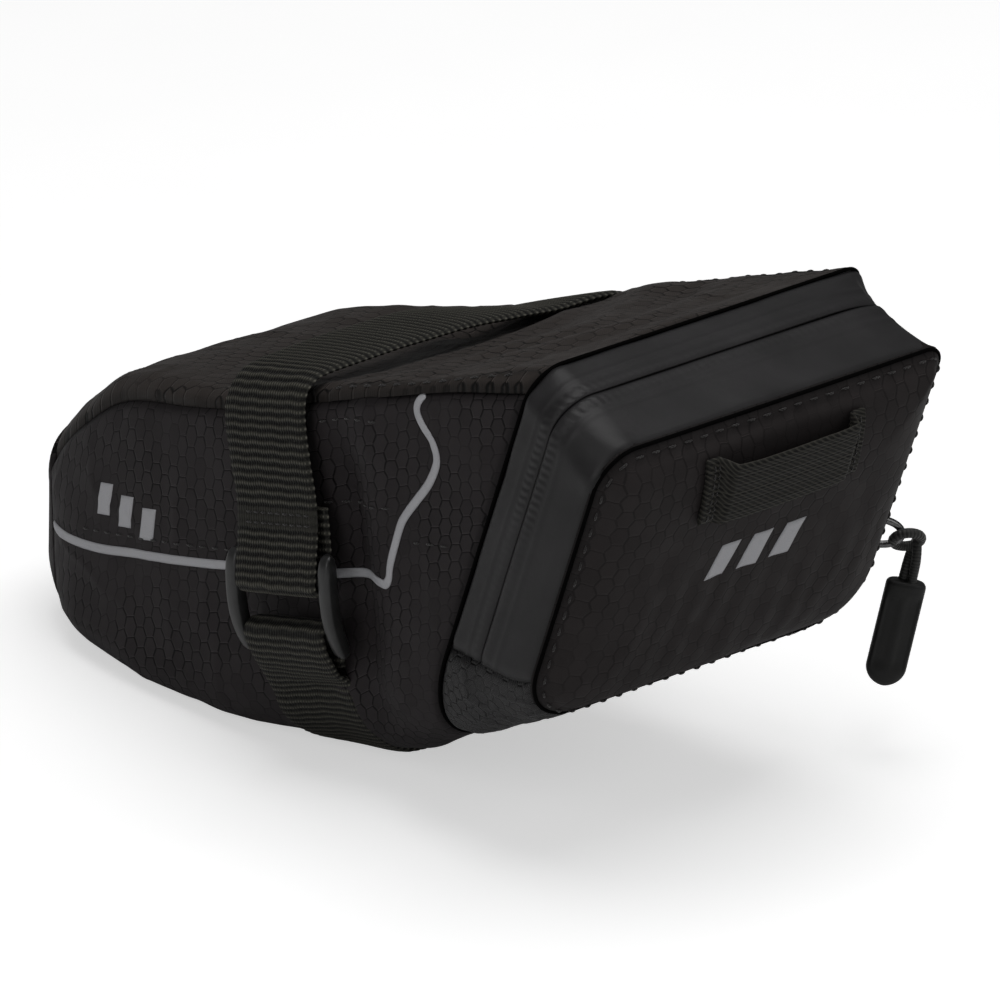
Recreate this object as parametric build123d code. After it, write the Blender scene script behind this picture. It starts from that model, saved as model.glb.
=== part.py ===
from build123d import *
import os
import math

# Saddle bag: a fabric wedge with a zipped rear panel, a webbing strap over the saddle rails and a buckle each side.
# Millimetres. +X is the bike's right, +Y is forward (the nose), +Z is up.
# The design frame has Y = 0 at the top edge of the rear panel and Z = 0 at the underside of the lower strap.

os.makedirs("parts", exist_ok=True)

# ---------------------------------------------------------------- driving dimensions
FABRIC = 2.0            # fabric with its lining foam
LEAN = math.radians(20.8)   # the rear panel leans back over its lower edge by this much
BAND_HALF_WIDTH = 47.0  # half width of the zip band at the rear panel's seam
SEAM_HALF_WIDTH = 45.5  # and at its seam to the body
PANEL_T = 71.0          # rear panel's height along its own plane
BAND_DEPTH = 25.0       # front to rear depth of the zip band
ZIP_LINE = 15.0         # zip's distance in front of the rear panel's seam
ZIP_GAP = 1.2           # gap between the two halves of the band
HINGE_T = 64.0          # lid's hinge line, measured down the rear panel
HINGE_D = -5.5          # and behind its seam
MOVE_CLEAR = 0.15       # half the gap at the hinge line
TRAY = 2.0              # base tray thickness
COIL = 1.8              # zip coil's section
WEB = 25.0              # strap webbing width
WEB_T = 1.5             # strap webbing thickness
TRIM = 0.35             # reflective print thickness
BUCKLE_Y = 97.5         # buckle's centre
BUCKLE_RAIL = 3.4
BUCKLE_BAR = 3.0
BAR_TOP = (-48.2, 46.6)     # upper bar (x, z)
BAR_LOW = (-45.6, 34.4)     # lower bar (x, z)
LOOP_OUT = 6.4          # strap fold round a bar, outer
LOOP_IN = 3.6
SHIFT = (-7.97, -100.32, -0.08)  # design frame to the row's frame


def P(t, d):
    """(y, z) of a point t down the rear panel and d in front of its seam plane."""
    return (t * math.sin(LEAN) + d * math.cos(LEAN), 102 - t * math.cos(LEAN) + d * math.sin(LEAN))


# cross sections from the rear panel's seam to the nose: top (y, z), bottom (y, z), half width at the top and bottom,
# top radius, lower corner's width and height, how far that corner is cut, sag of the top
REAR = [
    (P(0, 0), P(PANEL_T, 0), BAND_HALF_WIDTH, BAND_HALF_WIDTH, 9, 10, 10, 0.29, 0.0),
    (P(-2.8, BAND_DEPTH), P(98, BAND_DEPTH), SEAM_HALF_WIDTH, SEAM_HALF_WIDTH, 8, 20, 26, 0.29, 0.0),
]
BODY = [
    REAR[1],
    ((56, 102.0), (80, 7.4), 45.3, 40.5, 3, 18, 23, 0.32, 0.8),
    ((92, 89.0), (96.5, 1.9), 43.2, 37.5, 3, 13, 19, 0.36, 2.6),
    ((113, 80.6), (113, 1.9), 41.2, 37.0, 3, 9, 13, 0.32, 2.6),
    ((136, 74.6), (134, 0.4), 38.4, 35.2, 3, 7, 9, 0.29, 1.4),
    ((163, 68.4), (159, 0.2), 33.6, 33.2, 4, 5.5, 8, 0.29, 0.4),
    ((184, 57.5), (178, 0.2), 28.5, 29.0, 6, 6, 9, 0.29, 0.0),
    ((198, 45), (190.0, 0.4), 23.0, 23.5, 9, 7, 8, 0.29, 0.0),
    ((206.5, 33), (200, 6), 15.0, 15.5, 7, 7, 7, 0.29, 0.0),
]


def ring(section, off):
    """Closed polygon of one section, moved inwards by off (outwards if negative)."""
    (ty, tz), (by, bz), wt, wb, rt, rx, rz, cut, sag = section
    h = math.hypot(by - ty, bz - tz)
    uy, uz = (by - ty) / h, (bz - tz) / h
    wt, wb = wt - off, wb - off
    lo, hi = off, h - off
    rt, rx, rz = max(rt - off, 0.6), max(rx - off, 1.2), max(rz - off, 1.2)
    half = [
        (0.55 * (wt - rt), lo + 0.85 * sag),
        (wt - rt, lo),
        (wt - 0.29 * rt, lo + 0.29 * rt),
        (wt, lo + rt),
        (wb, hi - rz),
        (wb - cut * rx, hi - cut * rz),
        (wb - rx, hi),
    ]
    pts = [(0, lo + sag)] + half + [(-x, s) for x, s in reversed(half)]
    return [Vector(x, ty + uy * s, tz + uz * s) for x, s in pts]


def loft(sections, off, nose_back=0.0):
    wires = []
    for i, s in enumerate(sections):
        pts = ring(s, off)
        if nose_back and i == len(sections) - 1:
            pts = [Vector(p.X, p.Y - nose_back, p.Z) for p in pts]
        wires.append(Wire.make_polygon(pts, close=True))
    return Solid.make_loft(wires, ruled=True)


def prism_x(yz, x0, x1):
    """Polygon in the (y, z) plane, run from x0 to x1."""
    face = Face(Wire.make_polygon([Vector(x0, y, z) for y, z in yz], close=True))
    return Solid.extrude(face, Vector(x1 - x0, 0, 0))


def prism_td(td, x0, x1):
    """The same with the polygon given as (t, d) in the rear panel's own frame."""
    return prism_x([P(t, d) for t, d in td], x0, x1)


def prism_plan(xy, z0, z1):
    face = Face(Wire.make_polygon([Vector(x, y, z0) for x, y in xy], close=True))
    return Solid.extrude(face, Vector(0, 0, z1 - z0))


def prism_panel(xt, d0, d1):
    """Polygon given as (x, t) on the rear panel, run from d0 to d1 in front of its seam plane."""
    pts = []
    for x, t in xt:
        y, z = P(t, d0)
        pts.append(Vector(x, y, z))
    face = Face(Wire.make_polygon(pts, close=True))
    k = d1 - d0
    return Solid.extrude(face, Vector(0, k * math.cos(LEAN), k * math.sin(LEAN)))


def solids_of(shape):
    return list(shape.solids())


made = {}


def save(name, shape):
    if isinstance(shape, (list, tuple)):
        shape = Compound(children=list(shape)) if len(shape) > 1 else shape[0]
    found = solids_of(shape)
    shape = found[0] if len(found) == 1 else Compound(children=found)
    shape = shape.moved(Location(Vector(*SHIFT)))
    shape.label = name
    export_step(shape, f"parts/{name}.step")
    made[name] = shape


# ---------------------------------------------------------------- body shell
outer = loft(BODY, 0)
inner = loft(BODY, FABRIC, nose_back=FABRIC)
shell = outer - inner

nose_cut = Box(200, 80, 200, align=(Align.CENTER, Align.MIN, Align.CENTER)).moved(Location((0, 180, 50)))
top_half = [(39.0, -5), (42.4, 56), (39.4, 92), (36.2, 121), (29.2, 161), (24.0, 180)]
top_plan = [(-x, y) for x, y in top_half] + top_half[::-1]
bottom_half = [(24, -5), (21, 80), (22, 97), (26, 121), (26, 158), (21, 180)]
bottom_plan = [(-x, y) for x, y in bottom_half] + bottom_half[::-1]
top_zone = prism_x([(-5, 100), (22, 104), (56, 94), (92, 82), (113, 73.5), (136, 67.5), (163, 60.5), (182, 50), (182, 140), (-5, 140)], -60, 60)
top_cut = prism_plan(top_plan, 40, 140) & top_zone
bottom_cut = prism_plan(bottom_plan, -20, 40)

nose = shell & nose_cut
rest = shell - nose_cut
top = rest & top_cut
bottom = rest & bottom_cut
sides = (rest - top_cut) - bottom_cut
left = [s for s in solids_of(sides) if s.center().X < 0]
right = [s for s in solids_of(sides) if s.center().X > 0]
save("nose_panel", nose)
save("top_panel", top)
save("bottom_panel", bottom)
save("left_side_panel", left)
save("right_side_panel", right)

# moulded tray that keeps the front of the bottom, the nose and the lower sides in shape
inside_tray = loft(BODY, FABRIC + TRAY, nose_back=FABRIC + TRAY)
tray_zone = prism_x([(104, -5), (230, -5), (230, 34), (150, 34), (116, 22), (104, 12)], -60, 60)
save("base_tray", (inner - inside_tray) & tray_zone)

# ---------------------------------------------------------------- zip band and lower gusset
band_outer = loft(REAR, 0)
band_inner = loft(REAR, FABRIC)
band_coil = loft(REAR, FABRIC + COIL)
# the inner lofts are run on a little at both ends, so that the ring is open there
gusset = band_outer - band_inner
coil_ring = band_inner - band_coil
H = MOVE_CLEAR
half_gap = ZIP_GAP / 2
front_from = ZIP_LINE + half_gap
low_zone = prism_td([(HINGE_T + H, -30), (HINGE_T + H, front_from), (66.4, front_from), (69.1, BAND_DEPTH + 0.2),
                     (130, BAND_DEPTH + 0.2), (130, -30)], -70, 70)
front_zone = prism_td([(-30, front_from), (66.4, front_from), (69.1, BAND_DEPTH + 0.2), (-30, BAND_DEPTH + 0.2)], -70, 70)
rear_zone = prism_td([(-30, -0.01), (HINGE_T - H, -0.01), (HINGE_T - H, ZIP_LINE - half_gap),
                      (-30, ZIP_LINE - half_gap)], -70, 70)
save("zip_band_front", gusset & front_zone)
save("zip_band_rear", gusset & rear_zone)
lower = gusset & low_zone
middle = prism_x([(-20, -20), (120, -20), (120, 130), (-20, 130)], -27, 27)
save("lower_gusset", lower & middle)
corners = lower - middle
save("left_corner_patch", [s for s in solids_of(corners) if s.center().X < 0])
save("right_corner_patch", [s for s in solids_of(corners) if s.center().X > 0])

coil_front = prism_td([(-30, front_from + 0.1), (65, front_from + 0.1), (65, front_from + 0.1 + COIL),
                       (-30, front_from + 0.1 + COIL)], -70, 70)
rear_to = ZIP_LINE - half_gap - 0.1
coil_rear = prism_td([(-30, rear_to - COIL), (HINGE_T - 1, rear_to - COIL), (HINGE_T - 1, rear_to), (-30, rear_to)], -70, 70)
save("zip_coil_front", coil_ring & coil_front)
save("zip_coil_rear", coil_ring & coil_rear)


# ---------------------------------------------------------------- rear panel
def panel_section(inset, d):
    w = BAND_HALF_WIDTH - inset
    t0, t1 = inset, PANEL_T - inset
    rt, rb = max(9 - inset * 0.4, 2), max(10 - inset * 0.4, 3)
    half = [(w - rt, t0), (w - 0.29 * rt, t0 + 0.29 * rt), (w, t0 + rt), (w, t1 - rb), (w - 0.29 * rb, t1 - 0.29 * rb),
            (w - rb, t1)]
    pts = half + [(-x, t) for x, t in reversed(half)]
    out = []
    for x, t in pts:
        y, z = P(t, d)
        out.append(Vector(x, y, z))
    return Wire.make_polygon(out, close=True)


def rim_section(off, d):
    """The band's own section, moved inwards by off, at depth d."""
    pts = ring(REAR[0], off)
    return Wire.make_polygon([Vector(p.X, p.Y + d * math.cos(LEAN), p.Z + d * math.sin(LEAN)) for p in pts], close=True)


cap_outer = Solid.make_loft([panel_section(0, 0), panel_section(4, -3.2), panel_section(12, -5.4), panel_section(24, -6.6)], ruled=True)
cap_inner = Solid.make_loft([panel_section(FABRIC, 0), panel_section(5.4, -1.4), panel_section(12.6, -3.4), panel_section(24, -4.6)], ruled=True)
cap = cap_outer - cap_inner
save("rear_panel", cap & prism_td([(-20, -30), (HINGE_T - H, -30), (HINGE_T - H, 5), (-20, 5)], -70, 70))
save("rear_panel_lower", cap & prism_td([(HINGE_T + H, -30), (100, -30), (100, 5), (HINGE_T + H, 5)], -70, 70))
save("rear_panel_foam", prism_panel([(-38, 10), (-34, 6), (34, 6), (38, 10), (38, 56), (-38, 56)], 0.4, 2.4))


def lifted(height):
    """The rear panel's outer form, lifted off it by height."""
    return cap_outer.moved(Location(Vector(0, -height * math.cos(LEAN), -height * math.sin(LEAN))))


def on_panel(x0, x1, t0, t1):
    return prism_panel([(x0, t0), (x1, t0), (x1, t1), (x0, t1)], -30, 0)


# webbing loop for a clip-on light, sewn at both ends and open above and below
LOOP_X, LOOP_T0, LOOP_T1 = 17.5, 5.0, 20.0
LOOP_GAP, LOOP_TH = 3.4, 1.3
tabs = (lifted(LOOP_TH) - cap_outer) & (on_panel(-LOOP_X - 4, -LOOP_X + 2, LOOP_T0, LOOP_T1)
                                        + on_panel(LOOP_X - 2, LOOP_X + 4, LOOP_T0, LOOP_T1))
legs = (lifted(LOOP_GAP + LOOP_TH) - cap_outer) & (on_panel(-LOOP_X + 0.6, -LOOP_X + 2, LOOP_T0, LOOP_T1)
                                                  + on_panel(LOOP_X - 2, LOOP_X - 0.6, LOOP_T0, LOOP_T1))
span = (lifted(LOOP_GAP + LOOP_TH) - lifted(LOOP_GAP)) & on_panel(-LOOP_X + 0.6, LOOP_X - 0.6, LOOP_T0, LOOP_T1)
save("light_loop", tabs + legs + span)

# generic reflective mark on the rear panel: three slanted bars
bars = None
for k in range(3):
    x = -10.4 + 9.0 * k
    bar = prism_panel([(x - 2.8, 37.6), (x + 2.4, 37.6), (x + 5.2, 29.6), (x, 29.6)], -30, 0)
    bars = bar if bars is None else bars + bar
save("rear_mark", (lifted(TRIM) - cap_outer) & bars)


# ---------------------------------------------------------------- reflective line and generic marks on the sides
def strip_yz(points, width):
    """Polygons, one per run, that together draw a line of the given width in the (y, z) plane."""
    left_side, right_side = [], []
    n = len(points)
    for i, (y, z) in enumerate(points):
        a = points[max(i - 1, 0)]
        b = points[min(i + 1, n - 1)]
        dy, dz = b[0] - a[0], b[1] - a[1]
        if 0 < i < n - 1:
            d1 = (y - a[0], z - a[1])
            d2 = (b[0] - y, b[1] - z)
            l1, l2 = math.hypot(*d1), math.hypot(*d2)
            n1 = (-d1[1] / l1, d1[0] / l1)
            n2 = (-d2[1] / l2, d2[0] / l2)
            m = (n1[0] + n2[0], n1[1] + n2[1])
            k = math.hypot(*m)
            m = (m[0] / k, m[1] / k)
            s = min(1 / max(m[0] * n1[0] + m[1] * n1[1], 0.3), 1.8)
            m = (m[0] * s, m[1] * s)
        else:
            k = math.hypot(dy, dz)
            m = (-dz / k, dy / k)
        left_side.append((y + m[0] * width / 2, z + m[1] * width / 2))
        right_side.append((y - m[0] * width / 2, z - m[1] * width / 2))
    return left_side + right_side[::-1]


LINE = [(56.0, 99.4), (57.5, 96.6), (56.9, 92.6), (51.8, 89.3), (50.9, 86.4), (52.9, 82.2), (57.9, 75.1), (62.8, 69), (65.8, 61.4),
        (67.8, 55.3), (70.6, 52.6), (78.3, 51.3), (117.6, 41), (154.5, 31.7), (176, 25.5)]
skin = loft(BODY, -TRIM) - outer
line = strip_yz(LINE, 2.0)
front_of = Box(300, 300, 300, align=(Align.CENTER, Align.MIN, Align.CENTER)).moved(Location((0, 24, 0)))
marks = []
for k in range(3):
    y = 171.0 - 8.4 * k
    marks.append([(y, 35.2), (y - 4.9, 36.4), (y - 6.1, 43.8), (y - 1.2, 42.6)])
for side, x0, x1 in (("left", -80, -22), ("right", 22, 80)):
    save(f"{side}_reflective_line", skin & prism_x(line, x0, x1))
    prints = None
    for m in marks:
        one = prism_x(m, x0, x1)
        prints = one if prints is None else prints + one
    save(f"{side}_side_mark", skin & prints)


# ---------------------------------------------------------------- straps
def webbing(path, thickness=WEB_T):
    """Ruled strip through path points (x, z, y centre, slope of the width in z per y), WEB wide."""
    n = len(path)
    wires = []
    for i, (x, z, yc, slope) in enumerate(path):
        a, b = path[max(i - 1, 0)], path[min(i + 1, n - 1)]
        if 0 < i < n - 1:
            d1 = (x - a[0], z - a[1])
            d2 = (b[0] - x, b[1] - z)
            l1, l2 = math.hypot(*d1), math.hypot(*d2)
            n1 = (-d1[1] / l1, d1[0] / l1)
            n2 = (-d2[1] / l2, d2[0] / l2)
            m = (n1[0] + n2[0], n1[1] + n2[1])
            k = math.hypot(*m)
            m = (m[0] / k, m[1] / k)
            s = 1 / (m[0] * n1[0] + m[1] * n1[1])
            m = (m[0] * s, m[1] * s)
        else:
            k = math.hypot(b[0] - a[0], b[1] - a[1])
            m = (-(b[1] - a[1]) / k, (b[0] - a[0]) / k)
        h = thickness / 2
        w = WEB / 2
        corners_ = [
            Vector(x + m[0] * h, yc - w, z + m[1] * h + slope * w),
            Vector(x + m[0] * h, yc + w, z + m[1] * h - slope * w),
            Vector(x - m[0] * h, yc + w, z - m[1] * h - slope * w),
            Vector(x - m[0] * h, yc - w, z - m[1] * h + slope * w),
        ]
        wires.append(Wire.make_polygon(corners_, close=True))
    runs = [Solid.make_loft([a, b], ruled=True) for a, b in zip(wires, wires[1:])]
    out = runs[0]
    for r in runs[1:]:
        out = out + r
    return out


def fold(x, z, angle):
    """The strap's fold round a buckle bar: a square tube along Y."""
    out = Box(LOOP_OUT, WEB, LOOP_OUT) - Box(LOOP_IN, WEB + 2, LOOP_IN)
    return out.moved(Location((x, BUCKLE_Y, z), (0, angle, 0)))


# the strap's run over the top: it is lifted over the saddle rails on the left and in the middle, and lies down on the right
top_path = [(-48.2, 49.6, 97.5, 0.0), (-47.8, 56.8, 97.5, 0.0), (-47.0, 64, 98.9, 0.10), (-46.0, 78, 103.2, 0.28),
            (-45.6, 83.2, 103.6, 0.33), (-43.4, 87.2, 103.6, 0.28), (-37.5, 88.7, 103.6, 0.22), (-20, 88.8, 103.6, 0.2),
            (6, 88.6, 103.6, 0.2), (20, 87.0, 103.6, 0.28), (30, 85.9, 103.6, 0.37), (40, 85.6, 103.6, 0.405),
            (43.4, 84.2, 103.6, 0.405), (45.4, 80.8, 103.6, 0.38), (45.9, 77, 103.2, 0.28), (47.0, 64, 98.9, 0.10),
            (47.8, 56.8, 97.5, 0.0), (48.2, 49.6, 97.5, 0.0)]
wrap = (loft(BODY, -(0.4 + WEB_T)) - loft(BODY, -0.4)) & prism_x(
    [(BUCKLE_Y + 1.5 - WEB / 2, -10), (BUCKLE_Y + 1.5 + WEB / 2, -10), (BUCKLE_Y + 1.5 + WEB / 2, 24), (BUCKLE_Y + 1.5 - WEB / 2, 24)], -60, 60)
leg = [(-44.6, 32.0, 97.5, 0.0), (-43.0, 28.6, 97.5, 0.0), (-40.2, 24.4, 98.6, 0.0), (-38.9, 20.4, 99.0, 0.0)]

ANGLE_TOP, ANGLE_LOW = 0, 12
upper = webbing(top_path) + fold(*BAR_TOP, ANGLE_TOP) + fold(-BAR_TOP[0], BAR_TOP[1], -ANGLE_TOP)
save("upper_strap", upper)
under = wrap + webbing(leg) + webbing([(-x, z, y, a) for x, z, y, a in leg]) + fold(*BAR_LOW, -ANGLE_LOW) + fold(-BAR_LOW[0], BAR_LOW[1], ANGLE_LOW)
flat_cut = Box(200, 200, 20, align=(Align.CENTER, Align.CENTER, Align.MAX)).moved(Location((0, 100, 0.08)))
save("lower_strap", under - flat_cut)


# ---------------------------------------------------------------- buckles
def buckle(side):
    """Two bent side rails joined by two bars that carry the strap's folds."""
    s = -1 if side == "left" else 1
    inner_w = WEB + 0.8
    rail_xz = [(46.9, 55.2), (48.6, 55.6), (50.3, 54.6), (50.5, 48), (50.2, 41.5), (48.6, 34), (45.6, 27.6), (43.8, 26.6), (42.4, 27.8),
               (43.6, 33.4), (46.0, 38.6), (46.7, 44), (46.7, 50)]
    out = None
    for k in (-1, 1):
        y0 = BUCKLE_Y + k * (inner_w / 2 + BUCKLE_RAIL / 2) - BUCKLE_RAIL / 2
        face = Face(Wire.make_polygon([Vector(s * x, y0, z) for x, z in rail_xz], close=True))
        rail = Solid.extrude(face, Vector(0, BUCKLE_RAIL, 0))
        out = rail if out is None else out + rail
    for (x, z), a in ((BAR_TOP, ANGLE_TOP), (BAR_LOW, -ANGLE_LOW)):
        bar = Box(BUCKLE_BAR, inner_w + 1, BUCKLE_BAR).moved(Location((-s * x, BUCKLE_Y, z), (0, -s * a, 0)))
        out = out + bar
    return out


save("left_buckle", buckle("left"))
save("right_buckle", buckle("right"))

# ---------------------------------------------------------------- slider and pull
SLIDER_T, SLIDER_D = 60.0, ZIP_LINE
X_FACE = BAND_HALF_WIDTH - (BAND_HALF_WIDTH - SEAM_HALF_WIDTH) * (ZIP_LINE - 4) / BAND_DEPTH   # widest point under its plate
NEAR = 0.3


def local_box(lx, lt, ld, x, t, d):
    """Box with sides along X, down the panel and forward, centred at (x, t, d)."""
    xt = [(x - lx / 2, t - lt / 2), (x + lx / 2, t - lt / 2), (x + lx / 2, t + lt / 2), (x - lx / 2, t + lt / 2)]
    return prism_panel(xt, d - ld / 2, d + ld / 2)


plate = local_box(1.6, 10.5, 8.0, X_FACE + NEAR + 0.8, SLIDER_T, SLIDER_D)
neck = local_box(FABRIC + NEAR * 2 + COIL + 1.6, 3.0, ZIP_GAP - 0.6, X_FACE - (FABRIC + COIL) / 2 - 0.2, SLIDER_T - 2, SLIDER_D)
X_BACK = BAND_HALF_WIDTH - (BAND_HALF_WIDTH - SEAM_HALF_WIDTH) * (ZIP_LINE + 4) / BAND_DEPTH   # narrowest point over its back plate
inner_plate = local_box(1.2, 9.0, 7.0, X_BACK - FABRIC - COIL - NEAR - 0.6, SLIDER_T, SLIDER_D)
x_top = X_FACE + NEAR + 1.6
foot_a = local_box(3.4, 3.0, 1.2, x_top + 1.7 - 0.2, SLIDER_T, SLIDER_D - 2.6)
foot_b = local_box(3.4, 3.0, 1.2, x_top + 1.7 - 0.2, SLIDER_T, SLIDER_D + 2.6)
arch = local_box(1.2, 3.0, 6.4, x_top + 3.2 + 0.4, SLIDER_T, SLIDER_D)
save("zip_slider", plate + neck + inner_plate + foot_a + foot_b + arch)

# pull ring: a wire frame that hinges on the bridge about the panel's own down direction
WIRE = 1.4
RING_LEN, RING_HALF = 20.2, 3.4
RING_X = x_top + 1.5            # its bar passes under the bridge
RING_DIR = (0.80, -0.60)        # outward (X) and rearward (-d)


def ring_bar(a, b):
    """Square wire in the ring's plane between two points (u along the ring, t down the panel)."""
    (u0, t0), (u1, t1) = a, b
    lo_u, hi_u = min(u0, u1) - WIRE / 2, max(u0, u1) + WIRE / 2
    lo_t, hi_t = min(t0, t1) - WIRE / 2, max(t0, t1) + WIRE / 2
    base = Box(hi_u - lo_u, hi_t - lo_t, WIRE).moved(Location(((lo_u + hi_u) / 2, (lo_t + hi_t) / 2, 0)))
    return base


oy, oz = P(SLIDER_T, SLIDER_D)
u_dir = Vector(RING_DIR[0], RING_DIR[1] * math.cos(LEAN), RING_DIR[1] * math.sin(LEAN))
t_dir = Vector(0, math.sin(LEAN), -math.cos(LEAN))
ring_plane = Plane(origin=Vector(RING_X, oy, oz), x_dir=u_dir, z_dir=u_dir.cross(t_dir))
wires = (ring_bar((0, -RING_HALF), (0, RING_HALF)) + ring_bar((0, -RING_HALF), (RING_LEN, -RING_HALF))
         + ring_bar((0, RING_HALF), (RING_LEN, RING_HALF)) + ring_bar((RING_LEN, -RING_HALF), (RING_LEN, RING_HALF)))
save("pull_ring", wires.moved(ring_plane.location))

# pull tab: a moulded grip on a cord loop that hangs from the ring's lower outer corner
TAB_L, TAB_W, TAB_T = 25.0, 8.6, 4.6
corner = Vector(RING_X, oy, oz) + u_dir * (RING_LEN - 2.6) + t_dir * RING_HALF
plumb = Vector(0, 0, -1)
down = (plumb - u_dir * plumb.dot(u_dir)).normalized()
tab_plane = Plane(origin=corner, x_dir=down.cross(u_dir), z_dir=u_dir)
# in the tab's plane: x across it, y down the tab, z along the ring's lower arm, which it swings about
EYE_R, CORD_R, EYE_DROP = 3.2, 0.9, 1.2
eye = Cylinder(EYE_R, 1.8).moved(Location((0, EYE_DROP, 0))) - Cylinder(EYE_R - CORD_R, 4).moved(Location((0, EYE_DROP, 0)))
grip = Box(TAB_T, TAB_L, TAB_W).moved(Location((0, EYE_DROP + EYE_R - 0.3 + TAB_L / 2, 0)))
grip = fillet(grip.edges().filter_by(Axis.X), 3.4)
save("pull_cord", (eye - grip).moved(tab_plane.location))
save("pull_tab", grip.moved(tab_plane.location))

# ---------------------------------------------------------------- figures for the record
lo = [min(tuple(s.bounding_box().min)[i] for s in made.values()) for i in range(3)]
hi = [max(tuple(s.bounding_box().max)[i] for s in made.values()) for i in range(3)]
print("box", [round(v, 2) for v in lo], [round(v, 2) for v in hi])
print("centre x, y", round((lo[0] + hi[0]) / 2, 3), round((lo[1] + hi[1]) / 2, 3), "z0", round(lo[2], 3))
sh = Vector(*SHIFT)


def show(label, v):
    v = v + sh
    print(label, [round(c / 1000, 5) for c in tuple(v)])


show("hinge", Vector(0, *P(HINGE_T, HINGE_D)))
show("ring hinge", Vector(RING_X, oy, oz))
print("t_dir", [round(c, 5) for c in tuple(t_dir)], "u_dir", [round(c, 5) for c in tuple(u_dir)])
show("tab hinge", corner)
print("tab down", [round(c, 5) for c in tuple(down)])
DENS = {"fabric": 0.3, "plastic": 1.1, "metal": 2.7}
PL = {"base_tray": "plastic", "left_buckle": "plastic", "right_buckle": "plastic", "pull_tab": "plastic", "pull_cord": "fabric",
      "zip_slider": "metal", "pull_ring": "metal", "zip_coil_front": "plastic", "zip_coil_rear": "plastic",
      "zip_band_front": "fabric", "zip_band_rear": "fabric"}
mass, mom = 0.0, Vector(0, 0, 0)
for n, s in made.items():
    for q in s.solids():
        m = q.volume / 1000 * DENS[PL.get(n, "fabric")]
        mass += m
        mom += q.center(CenterOf.MASS) * m
c = mom * (1 / mass)
print("mass g", round(mass, 1), "centre of mass", [round(v, 1) for v in tuple(c)], "keel y", round(96.5 + SHIFT[1], 1))
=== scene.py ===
import math
import bmesh
import bpy
import numpy as np
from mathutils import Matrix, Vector
from mathutils.bvhtree import BVHTree


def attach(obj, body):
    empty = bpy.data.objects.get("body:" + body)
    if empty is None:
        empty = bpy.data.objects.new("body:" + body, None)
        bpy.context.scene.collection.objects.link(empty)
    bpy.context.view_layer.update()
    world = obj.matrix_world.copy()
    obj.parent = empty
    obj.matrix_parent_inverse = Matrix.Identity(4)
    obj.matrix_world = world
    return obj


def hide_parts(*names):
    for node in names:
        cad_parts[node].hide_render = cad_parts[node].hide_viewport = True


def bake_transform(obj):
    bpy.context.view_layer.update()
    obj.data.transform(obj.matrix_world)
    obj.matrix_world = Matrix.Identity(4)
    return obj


# Saddle bag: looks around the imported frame. Working units are millimetres in the design frame; mk() moves to the row frame.
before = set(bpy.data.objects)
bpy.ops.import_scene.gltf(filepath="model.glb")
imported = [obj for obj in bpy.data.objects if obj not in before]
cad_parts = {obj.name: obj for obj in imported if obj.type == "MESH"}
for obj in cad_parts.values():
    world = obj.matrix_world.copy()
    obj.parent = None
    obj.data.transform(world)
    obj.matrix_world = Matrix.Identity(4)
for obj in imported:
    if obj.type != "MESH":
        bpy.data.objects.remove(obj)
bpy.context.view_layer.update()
SHIFT = np.array([-7.97, -100.32, -0.08])
LEAN = math.radians(20.8)
CL, SL = math.cos(LEAN), math.sin(LEAN)
SC = bpy.context.scene
for _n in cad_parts.values():
    _n.data.materials.clear()


# ------------------------------------------------------------------ small numeric helpers
def smooth(a, b, x):
    t = np.clip((np.asarray(x, float) - a) / (b - a), 0, 1)
    return t * t * (3 - 2 * t)


def vnoise(p, seed=0):
    """Smooth value noise in -1..1 at points p (..., 3)."""
    p = np.asarray(p, float)
    i = np.floor(p).astype(np.int64)
    f = p - i
    u = f * f * f * (f * (f * 6 - 15) + 10)

    def h(dx, dy, dz):
        n = ((i[..., 0] + dx) * 73856093) ^ ((i[..., 1] + dy) * 19349663) ^ ((i[..., 2] + dz) * 83492791) ^ (seed * 265443 + 12345)
        n = (n ^ (n >> 13)) & 0x7FFFFFFF
        n = (n * 1274126177) & 0x7FFFFFFF
        n = n ^ (n >> 15)
        return (n & 0xFFFF) / 32767.5 - 1

    def mix(a, b, t):
        return a + (b - a) * t

    x0 = mix(mix(h(0, 0, 0), h(1, 0, 0), u[..., 0]), mix(h(0, 1, 0), h(1, 1, 0), u[..., 0]), u[..., 1])
    x1 = mix(mix(h(0, 0, 1), h(1, 0, 1), u[..., 0]), mix(h(0, 1, 1), h(1, 1, 1), u[..., 0]), u[..., 1])
    return mix(x0, x1, u[..., 2])


def n1(s, seed=0):
    s = np.asarray(s, float)
    return vnoise(np.stack([s, np.full_like(s, 0.37 + seed), np.full_like(s, 1.7)], -1), seed)


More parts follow.
